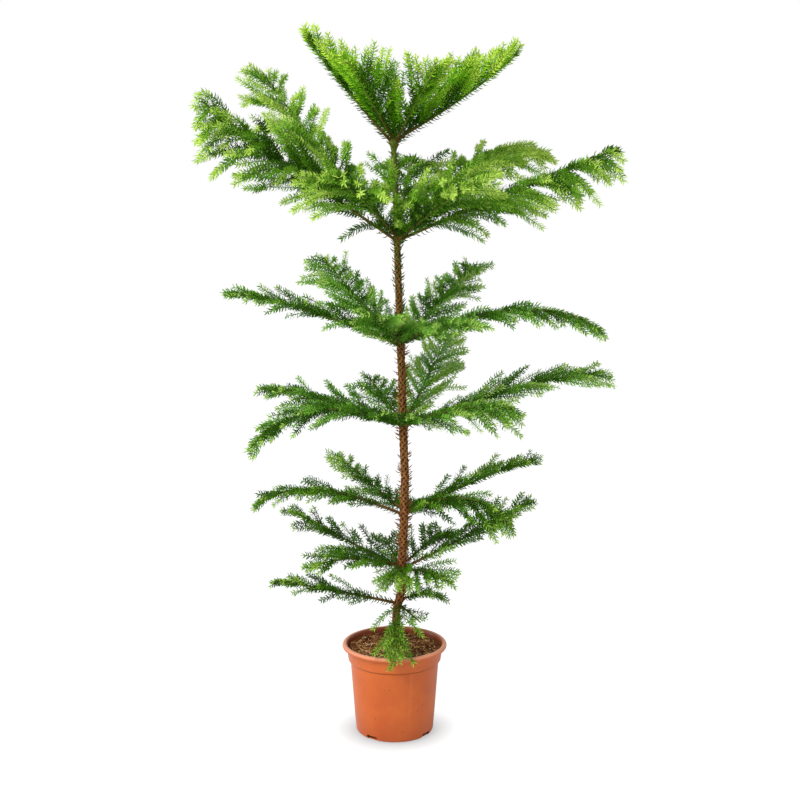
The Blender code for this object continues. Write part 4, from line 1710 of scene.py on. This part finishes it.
TWIG_COMB = Comb(
    closes=0.86, spread=68.0, closed=26.0, spread_jitter=8.0, bend=30.0, first=0.66, growth=0.34,
    grown=0.2, shrink=0.22, lengths=(0.85, 1.12), widths=(0.85, 1.15),
)
LIMB_COMB = Comb(
    closes=0.94, spread=66.0, closed=38.0, spread_jitter=10.0, bend=24.0, first=1.20, growth=-0.20,
    grown=1.0, shrink=0.35, lengths=(0.85, 1.1), widths=(0.85, 1.1),
)


@dataclass(frozen=True)
class Build:
    """How a twig grows: length, its share at the branch's root and tip, lift, droop and spread."""

    length: float
    root: float
    end: float
    lift: float
    droop: float
    spread: float


@dataclass(frozen=True)
class Twig:
    """One twig: its points, its place along the branch and the branch's place in AXES."""

    points: Array
    place: float
    number: int


@dataclass
class Crown:
    """One tier: its limbs, the twigs on them and the needles on both."""

    tier: Tier
    dress_code: Dress
    twig_knots: int = 7
    twig_radius: float = 0.0011
    twig_tip: float = 0.55
    curl: float = 0.06
    tip_margin: float = 0.006
    last_share: float = 0.955
    half_width: float = 0.0080
    free_points: int = 2
    low_share: float = 0.5
    swing_power: float = 0.6
    spread_swing: Pair = (-16.0, 4.0)
    inner_droop: float = 0.3
    flat_share: float = 0.4
    finer_offset: float = 0.25
    finer_jitter: float = 0.3
    finer_room: float = 0.4
    cut_radius: float = 0.0036
    bare_root_growth: float = 0.0003
    limb_taper: float = 0.8
    limb_sunk: float = 0.004
    limb_first: float = 0.01
    limb_last: float = 0.975
    limb_sides: int = 8
    limb_step: float = 0.0028
    limb_relief: Relief = Relief(
        around=3, pitch=0.0032, strand_width=0.22, strand_rise=0.00022, pit_size=0.25, pit_depth=0.00025
    )
    needle_sunk: float = 0.6
    needle_jitter: float = 0.35
    turn_jitter: float = 0.4
    outer_place: float = 0.55
    bright_place: float = 0.6
    old_end: float = 0.32
    limb_tip: float = 0.008
    limb_knots: int = 40
    limb_marks: Triple = (0.38, 0.80, 0.93)
    seed: int = 7
    twigs: list[Twig] = field(default_factory=list)

    def axes(self) -> list[tuple[int, Axis]]:
        """The tier's branches, with their places in AXES."""
        return [(i, axis) for i, axis in enumerate(AXES) if axis.tier is self.tier]

    def masses(self) -> list[str]:
        """The solids of the tier's sprays."""
        return [f"foliage_{axis.label}" for _, axis in self.axes()]

    def crown_profile(self, share: float, build: Build) -> float:
        """Length of the twigs along a branch.

        Args:
            share: Place along the mass, 0 to 1.
            build: How the twig grows.

        Returns:
            The length there, as a share of the longest twig.
        """
        root_part = min(1.0, build.root + RULE.root_twig_growth * share)
        past = max(0.0, share - RULE.longest_twig_place) / (1.0 - RULE.longest_twig_place)
        return root_part * (1.0 - (1.0 - build.end) * past)

    def coarse_build(self, rng: random.Random) -> Build:
        """Draws how a twig of the solids grows.

        Args:
            rng: The seeded generator.

        Returns:
            How it grows.
        """
        jitter = 1.0 + RULE.length_jitter * rng.uniform(-1.0, 1.0)
        lift = math.radians(self.tier.lift + RULE.lift_jitter * rng.uniform(-1.0, 1.0))
        droop = self.tier.droop * (1.0 + RULE.droop_jitter * rng.uniform(-1.0, 1.0))
        rng.uniform(-1.0, 1.0)  # the roll of the solid's flat spray, drawn to stay in step with it
        return Build(jitter, RULE.root_twig_share, RULE.tip_twig_share, lift, droop, RULE.twig_spread)

    def finer_build(self, rng: random.Random, axis: Axis, place: float) -> Build:
        """Draws how a finer twig grows, by the branch's habit.

        Args:
            rng: The seeded generator.
            axis: The branch.
            place: Place along the mass, 0 to 1.

        Returns:
            How it grows.
        """
        habit = habit_of(axis)
        drawn = rng.uniform(-1.0, 1.0)
        swing = math.copysign(abs(drawn) ** self.swing_power, drawn)
        swing *= 1.0 if drawn > 0.0 else self.low_share
        flatness = self.flat_share + (1.0 - self.flat_share) * abs(axis.outward.x)
        tilt = self.dress_code.lift_jitter * flatness * habit.tilt
        droop = self.tier.droop * habit.droop * (1.0 + RULE.droop_jitter * rng.uniform(-1.0, 1.0))
        return Build(
            length=habit.length * (1.0 + RULE.length_jitter * rng.uniform(-1.0, 1.0)),
            root=habit.root,
            end=habit.end,
            lift=math.radians(self.tier.lift + habit.lift + tilt * swing),
            droop=droop * (self.inner_droop + (1.0 - self.inner_droop) * place),
            spread=RULE.twig_spread + math.radians(rng.uniform(*self.spread_swing)),
        )

    def grow_twig(
        self, number: int, share: float, place: float, rank: float, build: Build, curl: float
    ) -> None:
        """Grows one twig by the seeded rule, shortened until it keeps to its space.

        Args:
            number: The branch's place in AXES.
            share: Share of the reach where it leaves.
            place: Place along the mass, 0 to 1.
            rank: -1 or 1, the side it leaves on.
            build: How it grows.
            curl: How far it bows, as a share of its length.
        """
        axis = AXES[number]
        length = self.tier.twig * axis.branch.twig * build.length
        length *= self.crown_profile(min(place, 1.0), build)
        along, up = axis.direction(share), axis.up(share)
        aside = axis.across * (rank * math.cos(build.lift)) + up * math.sin(build.lift)
        leave = along * math.cos(build.spread) + aside * math.sin(build.spread)
        square = leave.cross(up).normalized()
        root = np.array(axis.point(share))
        tip, ahead = np.array(axis.point(1.0)), np.array(axis.direction(1.0))
        shares = np.linspace(0.0, 1.0, self.twig_knots)[:, None]
        while length > RULE.shortest_twig:
            points = root + np.array(leave) * (length * shares)
            points += np.array(along) * (RULE.forward_bend * length * shares**2)
            points -= np.array(UP) * (build.droop * length * shares**2)
            points += np.array(square) * (curl * length * np.sin(math.pi * shares))
            past = max(((points - tip) @ ahead).max(), ((points - tip) @ np.array(axis.outward)).max())
            tested = points[self.free_points :]
            clear = keeps_to_its_space(number, tested, self.half_width, self.dress_code.margin)
            if past < self.tip_margin and clear:
                self.twigs.append(Twig(points, place, number))
                return
            length *= RULE.shorten

    def grow(self) -> None:
        """Grows the twigs of the solids first, then finer ones between them, branch by branch."""
        for number, axis in self.axes():
            rng = random.Random(axis.label)
            finer = random.Random(f"{axis.label}_finer")
            start = axis.start()
            count = max(2, round(axis.length * (RULE.stem_end - start) / self.tier.spacing))
            taken: dict[float, list[float]] = {-1.0: [], 1.0: []}
            for index in range(count):
                for rank in taken:
                    place = (index + 0.5 + RULE.rank_offset * rank) / count
                    share = start + (RULE.last_twig - start) * place
                    build = self.coarse_build(rng)
                    self.grow_twig(number, share, place, rank, build, self.curl * finer.uniform(-1.0, 1.0))
                    taken[rank].append(share)
            span = self.last_share - start
            pairs = max(3, round(axis.length * span * habit_of(axis).density / self.dress_code.pair_spacing))
            for index in range(pairs):
                for rank, coarse in taken.items():
                    offset = self.finer_offset * rank + self.finer_jitter * finer.uniform(-1.0, 1.0)
                    share = start + span * (index + 0.5 + offset) / pairs
                    if min(abs(share - other) for other in coarse) > self.finer_room * span / pairs:
                        place = (share - start) / (RULE.last_twig - start)
                        build = self.finer_build(finer, axis, min(place, 1.0))
                        curl = self.curl * finer.uniform(-1.0, 1.0)
                        self.grow_twig(number, share, place, rank, build, curl)

    def limb_radius(self, axis: Axis, shares: Array) -> Array:
        """Works out how thick a branch's limb is.

        Args:
            axis: The branch.
            shares: Shares of its reach.

        Returns:
            The radius at each.
        """
        root = RULE.bough_root_radius if axis.branch.bough else RULE.stem_root_radius + self.bare_root_growth
        tip = self.cut_radius if axis.branch.blunt else RULE.stem_tip_radius
        return root + (tip - root) * np.clip(shares, 0.0, 1.0) ** self.limb_taper

    def limb(self, axis: Axis) -> tuple[bpy.types.Object, Array]:
        """Makes a branch's limb with relief, its root sunk a little into the bark.

        Args:
            axis: The branch.

        Returns:
            The limb and how young the bark is at each of its points.
        """
        radius = RULE.bough_root_radius if axis.branch.bough else RULE.stem_root_radius
        start = max(self.limb_first, axis.root_share(radius, radius) - self.limb_sunk / axis.branch.reach)
        end = RULE.blunt_end if axis.branch.blunt else self.limb_last
        rings = max(8, int(axis.length * (end - start) / self.limb_step))
        shares = np.linspace(start, end, rings)
        middles = np.array([axis.point(s) for s in shares])
        ups = np.array([axis.up(s) for s in shares])
        rights = np.tile(np.array(axis.across), (rings, 1))
        angles = np.arange(self.limb_sides) * math.tau / self.limb_sides
        grid_angle, grid_length = np.meshgrid(angles, shares * axis.length)
        strand, pit = self.limb_relief.masks(grid_angle, grid_length)
        wide = self.limb_radius(axis, shares)[:, None]
        wide = wide + self.limb_relief.strand_rise * strand - self.limb_relief.pit_depth * pit
        obj = limb_mesh(f"limb_{axis.label}", middles, rights, ups, wide, angles)
        reach = (point_rows(obj) - np.array(axis.root)) @ np.array(axis.outward)
        return obj, np.clip(reach / axis.branch.reach, 0.0, 1.0)

    def dress_limbs(self) -> None:
        """Joins the tier's limbs into one piece with its bark."""
        bm = bmesh.new()
        ages = []
        for _, axis in self.axes():
            obj, age = self.limb(axis)
            bm.from_mesh(obj.data)
            ages.append(age)
            mesh = obj.data
            bpy.data.objects.remove(obj, do_unlink=True)
            bpy.data.meshes.remove(mesh)
        limbs = new_object(f"limbs_{self.tier.name}", bm)
        add_mask(limbs, "age", np.concatenate(ages))
        boughs = [f"bough_{axis.label}" for _, axis in self.axes() if axis.branch.bough]
        finish = LimbBark(f"limb_bark_{self.tier.name}", *LIMB_BARKS[self.tier.name]).material()
        finish_piece(limbs, finish, boughs + self.masses())

    def sprout(
        self, rng: np.random.Generator, points: Array, pitch: float, radius: float
    ) -> tuple[Array, Array, Array, Array]:
        """Deals needles out along a line, by the golden angle.

        Args:
            rng: The seeded generator.
            points: Points along the line.
            pitch: Length of line for each needle.
            radius: Radius of the bark there.

        Returns:
            Roots, directions along, directions out, and the share of the line of each needle.
        """
        steps = np.linalg.norm(np.diff(points, axis=0), axis=1)
        measure = np.concatenate([[0.0], np.cumsum(steps)])
        count = max(2, int(measure[-1] / pitch))
        jitter = self.needle_jitter * rng.uniform(-1.0, 1.0, count)
        places = (np.arange(count) + 0.5 + jitter) / count * measure[-1]
        middles = np.column_stack([np.interp(places, measure, points[:, i]) for i in range(3)])
        tangents = np.gradient(points, measure, axis=0)
        along = unit(np.column_stack([np.interp(places, measure, tangents[:, i]) for i in range(3)]))
        side = unit(np.cross(along, np.array([0.0, 0.0, 1.0])))
        top = np.cross(side, along)
        turn = np.arange(count) * GOLDEN_ANGLE + rng.uniform(0.0, math.tau)
        turn += self.turn_jitter * rng.uniform(-1.0, 1.0, count)
        radial = side * np.cos(turn)[:, None] + top * np.sin(turn)[:, None]
        return middles + radial * (self.needle_sunk * radius), along, radial, places / measure[-1]

    def deal_tints(self, rng: np.random.Generator, count: int) -> list[Tint]:
        """Deals a green to each spray, by the tier's shares.

        Args:
            rng: The seeded generator.
            count: How many sprays there are.

        Returns:
            The green of each.
        """
        tints = list(self.dress_code.shares)
        chances = np.array([self.dress_code.shares[tint] for tint in tints])
        return [tints[i] for i in rng.choice(len(tints), count, p=chances / chances.sum())]

    def shifted(self, tint: Tint, steps: int) -> Tint:
        """The green some steps younger than another, or older for less than 0."""
        order = list(Tint)
        return order[min(max(order.index(tint) + steps, 0), len(order) - 1)]

    def clothe(self) -> dict[Tint, Needles]:
        """Deals needles out over the tier's twigs and limbs.

        Returns:
            The needles by green.
        """
        rng = np.random.default_rng([self.seed, int(self.tier.name[1:])])
        kinds = {tint: Needles() for tint in Tint}
        for twig, dealt in zip(self.twigs, self.deal_tints(rng, len(self.twigs))):
            outer = twig.place > self.outer_place and rng.uniform() < self.dress_code.outer_young
            tint = self.shifted(dealt, habit_of(AXES[twig.number]).younger + outer)
            self.clothe_twig(rng, twig, tint, kinds)
        for _, axis in self.axes():
            self.clothe_limb(rng, axis, kinds)
        return kinds

    def clothe_twig(
        self, rng: np.random.Generator, twig: Twig, tint: Tint, kinds: dict[Tint, Needles]
    ) -> None:
        """Deals needles out along a twig, older at its root and younger at its tip.

        Args:
            rng: The seeded generator.
            twig: The twig.
            tint: Its green.
            kinds: The needles by green, added to.
        """
        code = self.dress_code
        roots, along, radial, share = self.sprout(rng, twig.points, code.pitch, self.twig_radius)
        *shape, uneven = TWIG_COMB.lay(rng, share, code.needle, code.width)
        mark = share + uneven
        young, old = mark > code.young_end, mark < self.old_end
        columns = (roots, along, radial, *shape)
        kinds[self.shifted(tint, -1)].add(old, *columns)
        kinds[tint].add(~young & ~old, *columns)
        end_tint = self.shifted(tint, 1) if twig.place < self.bright_place else Tint.TIP
        kinds[end_tint].add(young, *columns)

    def clothe_limb(self, rng: np.random.Generator, axis: Axis, kinds: dict[Tint, Needles]) -> None:
        """Deals needles out along a limb, short and dark at its root and young at its tip.

        Args:
            rng: The seeded generator.
            axis: The branch.
            kinds: The needles by green, added to.
        """
        code = self.dress_code
        start = axis.root_share(RULE.stem_root_radius, 0.0)
        end = RULE.blunt_end if axis.branch.blunt else 1.0
        shares = np.linspace(start, end - self.limb_tip / axis.length, self.limb_knots)
        points = np.array([axis.point(s) for s in shares])
        radius = float(self.limb_radius(axis, np.array([0.5]))[0])
        roots, along, radial, share = self.sprout(rng, points, code.limb_pitch, radius)
        *shape, uneven = LIMB_COMB.lay(rng, share, code.needle, code.width)
        step = np.searchsorted(self.limb_marks, share + code.limb_young + uneven, side="right")
        for index, tint in enumerate(Tint):
            kinds[tint].add(step == index, roots, along, radial, *shape)

    def dress(self) -> None:
        """Grows the tier and makes its limbs, twigs and needles."""
        self.grow()
        self.dress_limbs()
        tier = self.tier.name
        lines = np.array([twig.points for twig in self.twigs])
        taper = np.linspace(1.0, self.twig_tip, self.twig_knots)[None, :]
        twigs = tubes(f"twigs_{tier}", lines, np.tile(self.twig_radius * taper, (len(lines), 1)))
        bark = PlainFinish(f"twig_bark_{tier}", TWIG_COLOURS[tier], 0.6).material()
        finish_piece(twigs, bark, self.masses())
        for tint, needles in self.clothe().items():
            if needles.count():
                name = f"needles_{tier}_{tint.value}"
                finish = PlainFinish(f"{name}_green", self.dress_code.greens[tint], 0.5).material()
                finish_piece(needles.build(name), finish, self.masses())


GREEN_TIERS = ("t1", "t2")
GREEN_LIMB = (paint(120, 80, 28), paint(108, 124, 40), paint(140, 172, 66))
BROWN_LIMB = (paint(112, 70, 28), paint(92, 94, 34), paint(124, 150, 58))
GREEN_TWIG, DULL_TWIG = paint(104, 138, 48), paint(84, 108, 42)
LIMB_BARKS = {name: GREEN_LIMB if name in GREEN_TIERS else BROWN_LIMB for name in DRESSES}
TWIG_COLOURS = {name: GREEN_TWIG if name in GREEN_TIERS else DULL_TWIG for name in DRESSES}


# ---- spines of the trunk
@dataclass
class Spines:
    """Needles that stay on the trunk: dry and brown below, green above, and scales at each whorl."""

    dry_count: int = 520
    green_count: int = 420
    bud_count: int = 36
    scale_count: int = 26
    dry_heights: Pair = (0.215, 0.93)
    green_heights: Pair = (0.93, 1.352)
    bud_heights: Pair = (1.350, 1.366)
    scale_heights: Pair = (-0.009, 0.006)
    dry_stand: Pair = (0.0165, 62.0)
    green_stand: Pair = (0.0140, 55.0)
    bud_stand: Pair = (0.011, 24.0)
    scale_stand: Pair = (0.0060, 48.0)
    width: float = 0.0023
    sunk: float = 0.0008
    turn_jitter: float = 0.5
    rise_jitter: float = 14.0
    bends: Pair = (5.0, 32.0)
    lengths: Pair = (0.6, 1.15)
    widths: Pair = (0.8, 1.15)
    seed: int = 5

    def on_trunk(self, rng: np.random.Generator, heights: Array, needles: Needles, stand: Pair) -> None:
        """Stands needles on the bark.

        Args:
            rng: The seeded generator.
            heights: The height of each.
            needles: Where they are gathered.
            stand: Their usual length, and the angle between them and the trunk's line in degrees.
        """
        count = len(heights)
        ring_heights, leans, radii = TRUNK.columns()
        turn = np.arange(count) * GOLDEN_ANGLE + self.turn_jitter * rng.uniform(-1.0, 1.0, count)
        radial = np.column_stack([np.cos(turn), np.sin(turn), np.zeros(count)])
        middle = np.column_stack([np.interp(heights, ring_heights, leans), np.zeros(count), heights])
        roots = middle + radial * (np.interp(heights, ring_heights, radii) - self.sunk)[:, None]
        along = np.tile([0.0, 0.0, 1.0], (count, 1))
        spread = np.radians(stand[1] + self.rise_jitter * rng.uniform(-1.0, 1.0, count))
        bend = np.radians(rng.uniform(*self.bends, count))
        lengths = stand[0] * rng.uniform(*self.lengths, count)
        widths = self.width * rng.uniform(*self.widths, count)
        needles.add(np.full(count, True), roots, along, radial, spread, bend, lengths, widths)

    def dress(self) -> None:
        """Makes the dry spines, the green ones and the scales."""
        rng = np.random.default_rng(self.seed)
        dry, green, scales = Needles(), Needles(), Needles()
        self.on_trunk(rng, rng.uniform(*self.dry_heights, self.dry_count), dry, self.dry_stand)
        self.on_trunk(rng, rng.uniform(*self.green_heights, self.green_count), green, self.green_stand)
        self.on_trunk(rng, np.linspace(*self.bud_heights, self.bud_count), green, self.bud_stand)
        for tier in TIERS:
            heights = tier.height + rng.uniform(*self.scale_heights, self.scale_count)
            self.on_trunk(rng, heights, scales, self.scale_stand)
        parts = (
            ("spines_dry", dry, paint(124, 84, 48)),
            ("spines_green", green, paint(78, 96, 34)),
            ("bud_scales", scales, paint(138, 80, 32)),
        )
        for name, needles, colour in parts:
            finish = PlainFinish(f"{name}_finish", colour, 0.65).material()
            finish_piece(needles.build(name), finish, ["trunk"])


# ---- studio
@dataclass
class Studio:
    """Pale floor, soft light and the camera."""

    floor_radius: float = 40.0
    target: Triple = (0.0, 0.0, 0.75)
    clip: Pair = (0.05, 200.0)
    eye: Triple = (0.0125, -3.0, 1.24)
    pitch: float = 81.2
    lens: float = 60.75
    sensor: float = 36.0
    sky: float = 0.55

    def floor(self) -> None:
        """Lays the floor."""
        bm = bmesh.new()
        bmesh.ops.create_circle(bm, cap_ends=True, segments=96, radius=self.floor_radius)
        floor = new_object("floor", bm)
        floor.data.materials.append(StudioFloor().material())

    def light(self, name: str, place: Triple, size: float, power: float) -> None:
        """Hangs a soft square light that faces the plant.

        Args:
            name: The light's name.
            place: Where it hangs.
            size: Its side.
            power: Its power in watts.
        """
        data = bpy.data.lights.new(name, "AREA")
        data.shape, data.size, data.energy = "SQUARE", size, power
        lamp = bpy.data.objects.new(name, data)
        lamp.location = place
        lamp.rotation_euler = (Vector(self.target) - Vector(place)).to_track_quat("-Z", "Y").to_euler()
        bpy.context.scene.collection.objects.link(lamp)

    def camera(self) -> None:
        """Stands the camera and makes it the scene's."""
        data = bpy.data.cameras.new("camera")
        data.lens, data.sensor_width = self.lens, self.sensor
        data.clip_start, data.clip_end = self.clip
        camera = bpy.data.objects.new("camera", data)
        camera.location = self.eye
        camera.rotation_euler = (math.radians(self.pitch), 0.0, 0.0)
        bpy.context.scene.collection.objects.link(camera)
        bpy.context.scene.camera = camera

    def sky_light(self) -> None:
        """Fills the room with even pale light."""
        world = bpy.data.worlds.new("studio")
        world.use_nodes = True
        work = NodeWork(world.node_tree)
        back = world.node_tree.nodes["Background"]
        back.inputs["Color"].default_value = (1.0, 1.0, 1.0, 1.0)
        seen = work.add("ShaderNodeLightPath").outputs["Is Camera Ray"]
        work.link(work.spread(seen, 0.0, 1.0, self.sky, 1.0), back.inputs["Strength"])
        bpy.context.scene.world = world
        bpy.context.scene.view_settings.view_transform = "Standard"

    def build(self) -> None:
        """Sets up the whole studio."""
        self.floor()
        self.light("key", place=(-2.0, -2.4, 2.9), size=1.6, power=95.0)
        self.light("side", place=(-2.4, 0.2, 1.0), size=1.2, power=12.0)
        self.light("fill", place=(2.6, -1.8, 1.6), size=2.0, power=4.0)
        self.camera()
        self.sky_light()


def main() -> None:
    """Builds the pot, the soil, the trunk and every tier, and sets up the studio."""
    logging.basicConfig(level=logging.INFO, format="%(message)s", stream=sys.stdout)
    Studio().build()
    Pot().dress()
    Soil().dress()
    Trunk().dress()
    Spines().dress()
    for tier in TIERS:
        Crown(tier, DRESSES[tier.name]).dress()


if __name__ == "__main__":
    main()
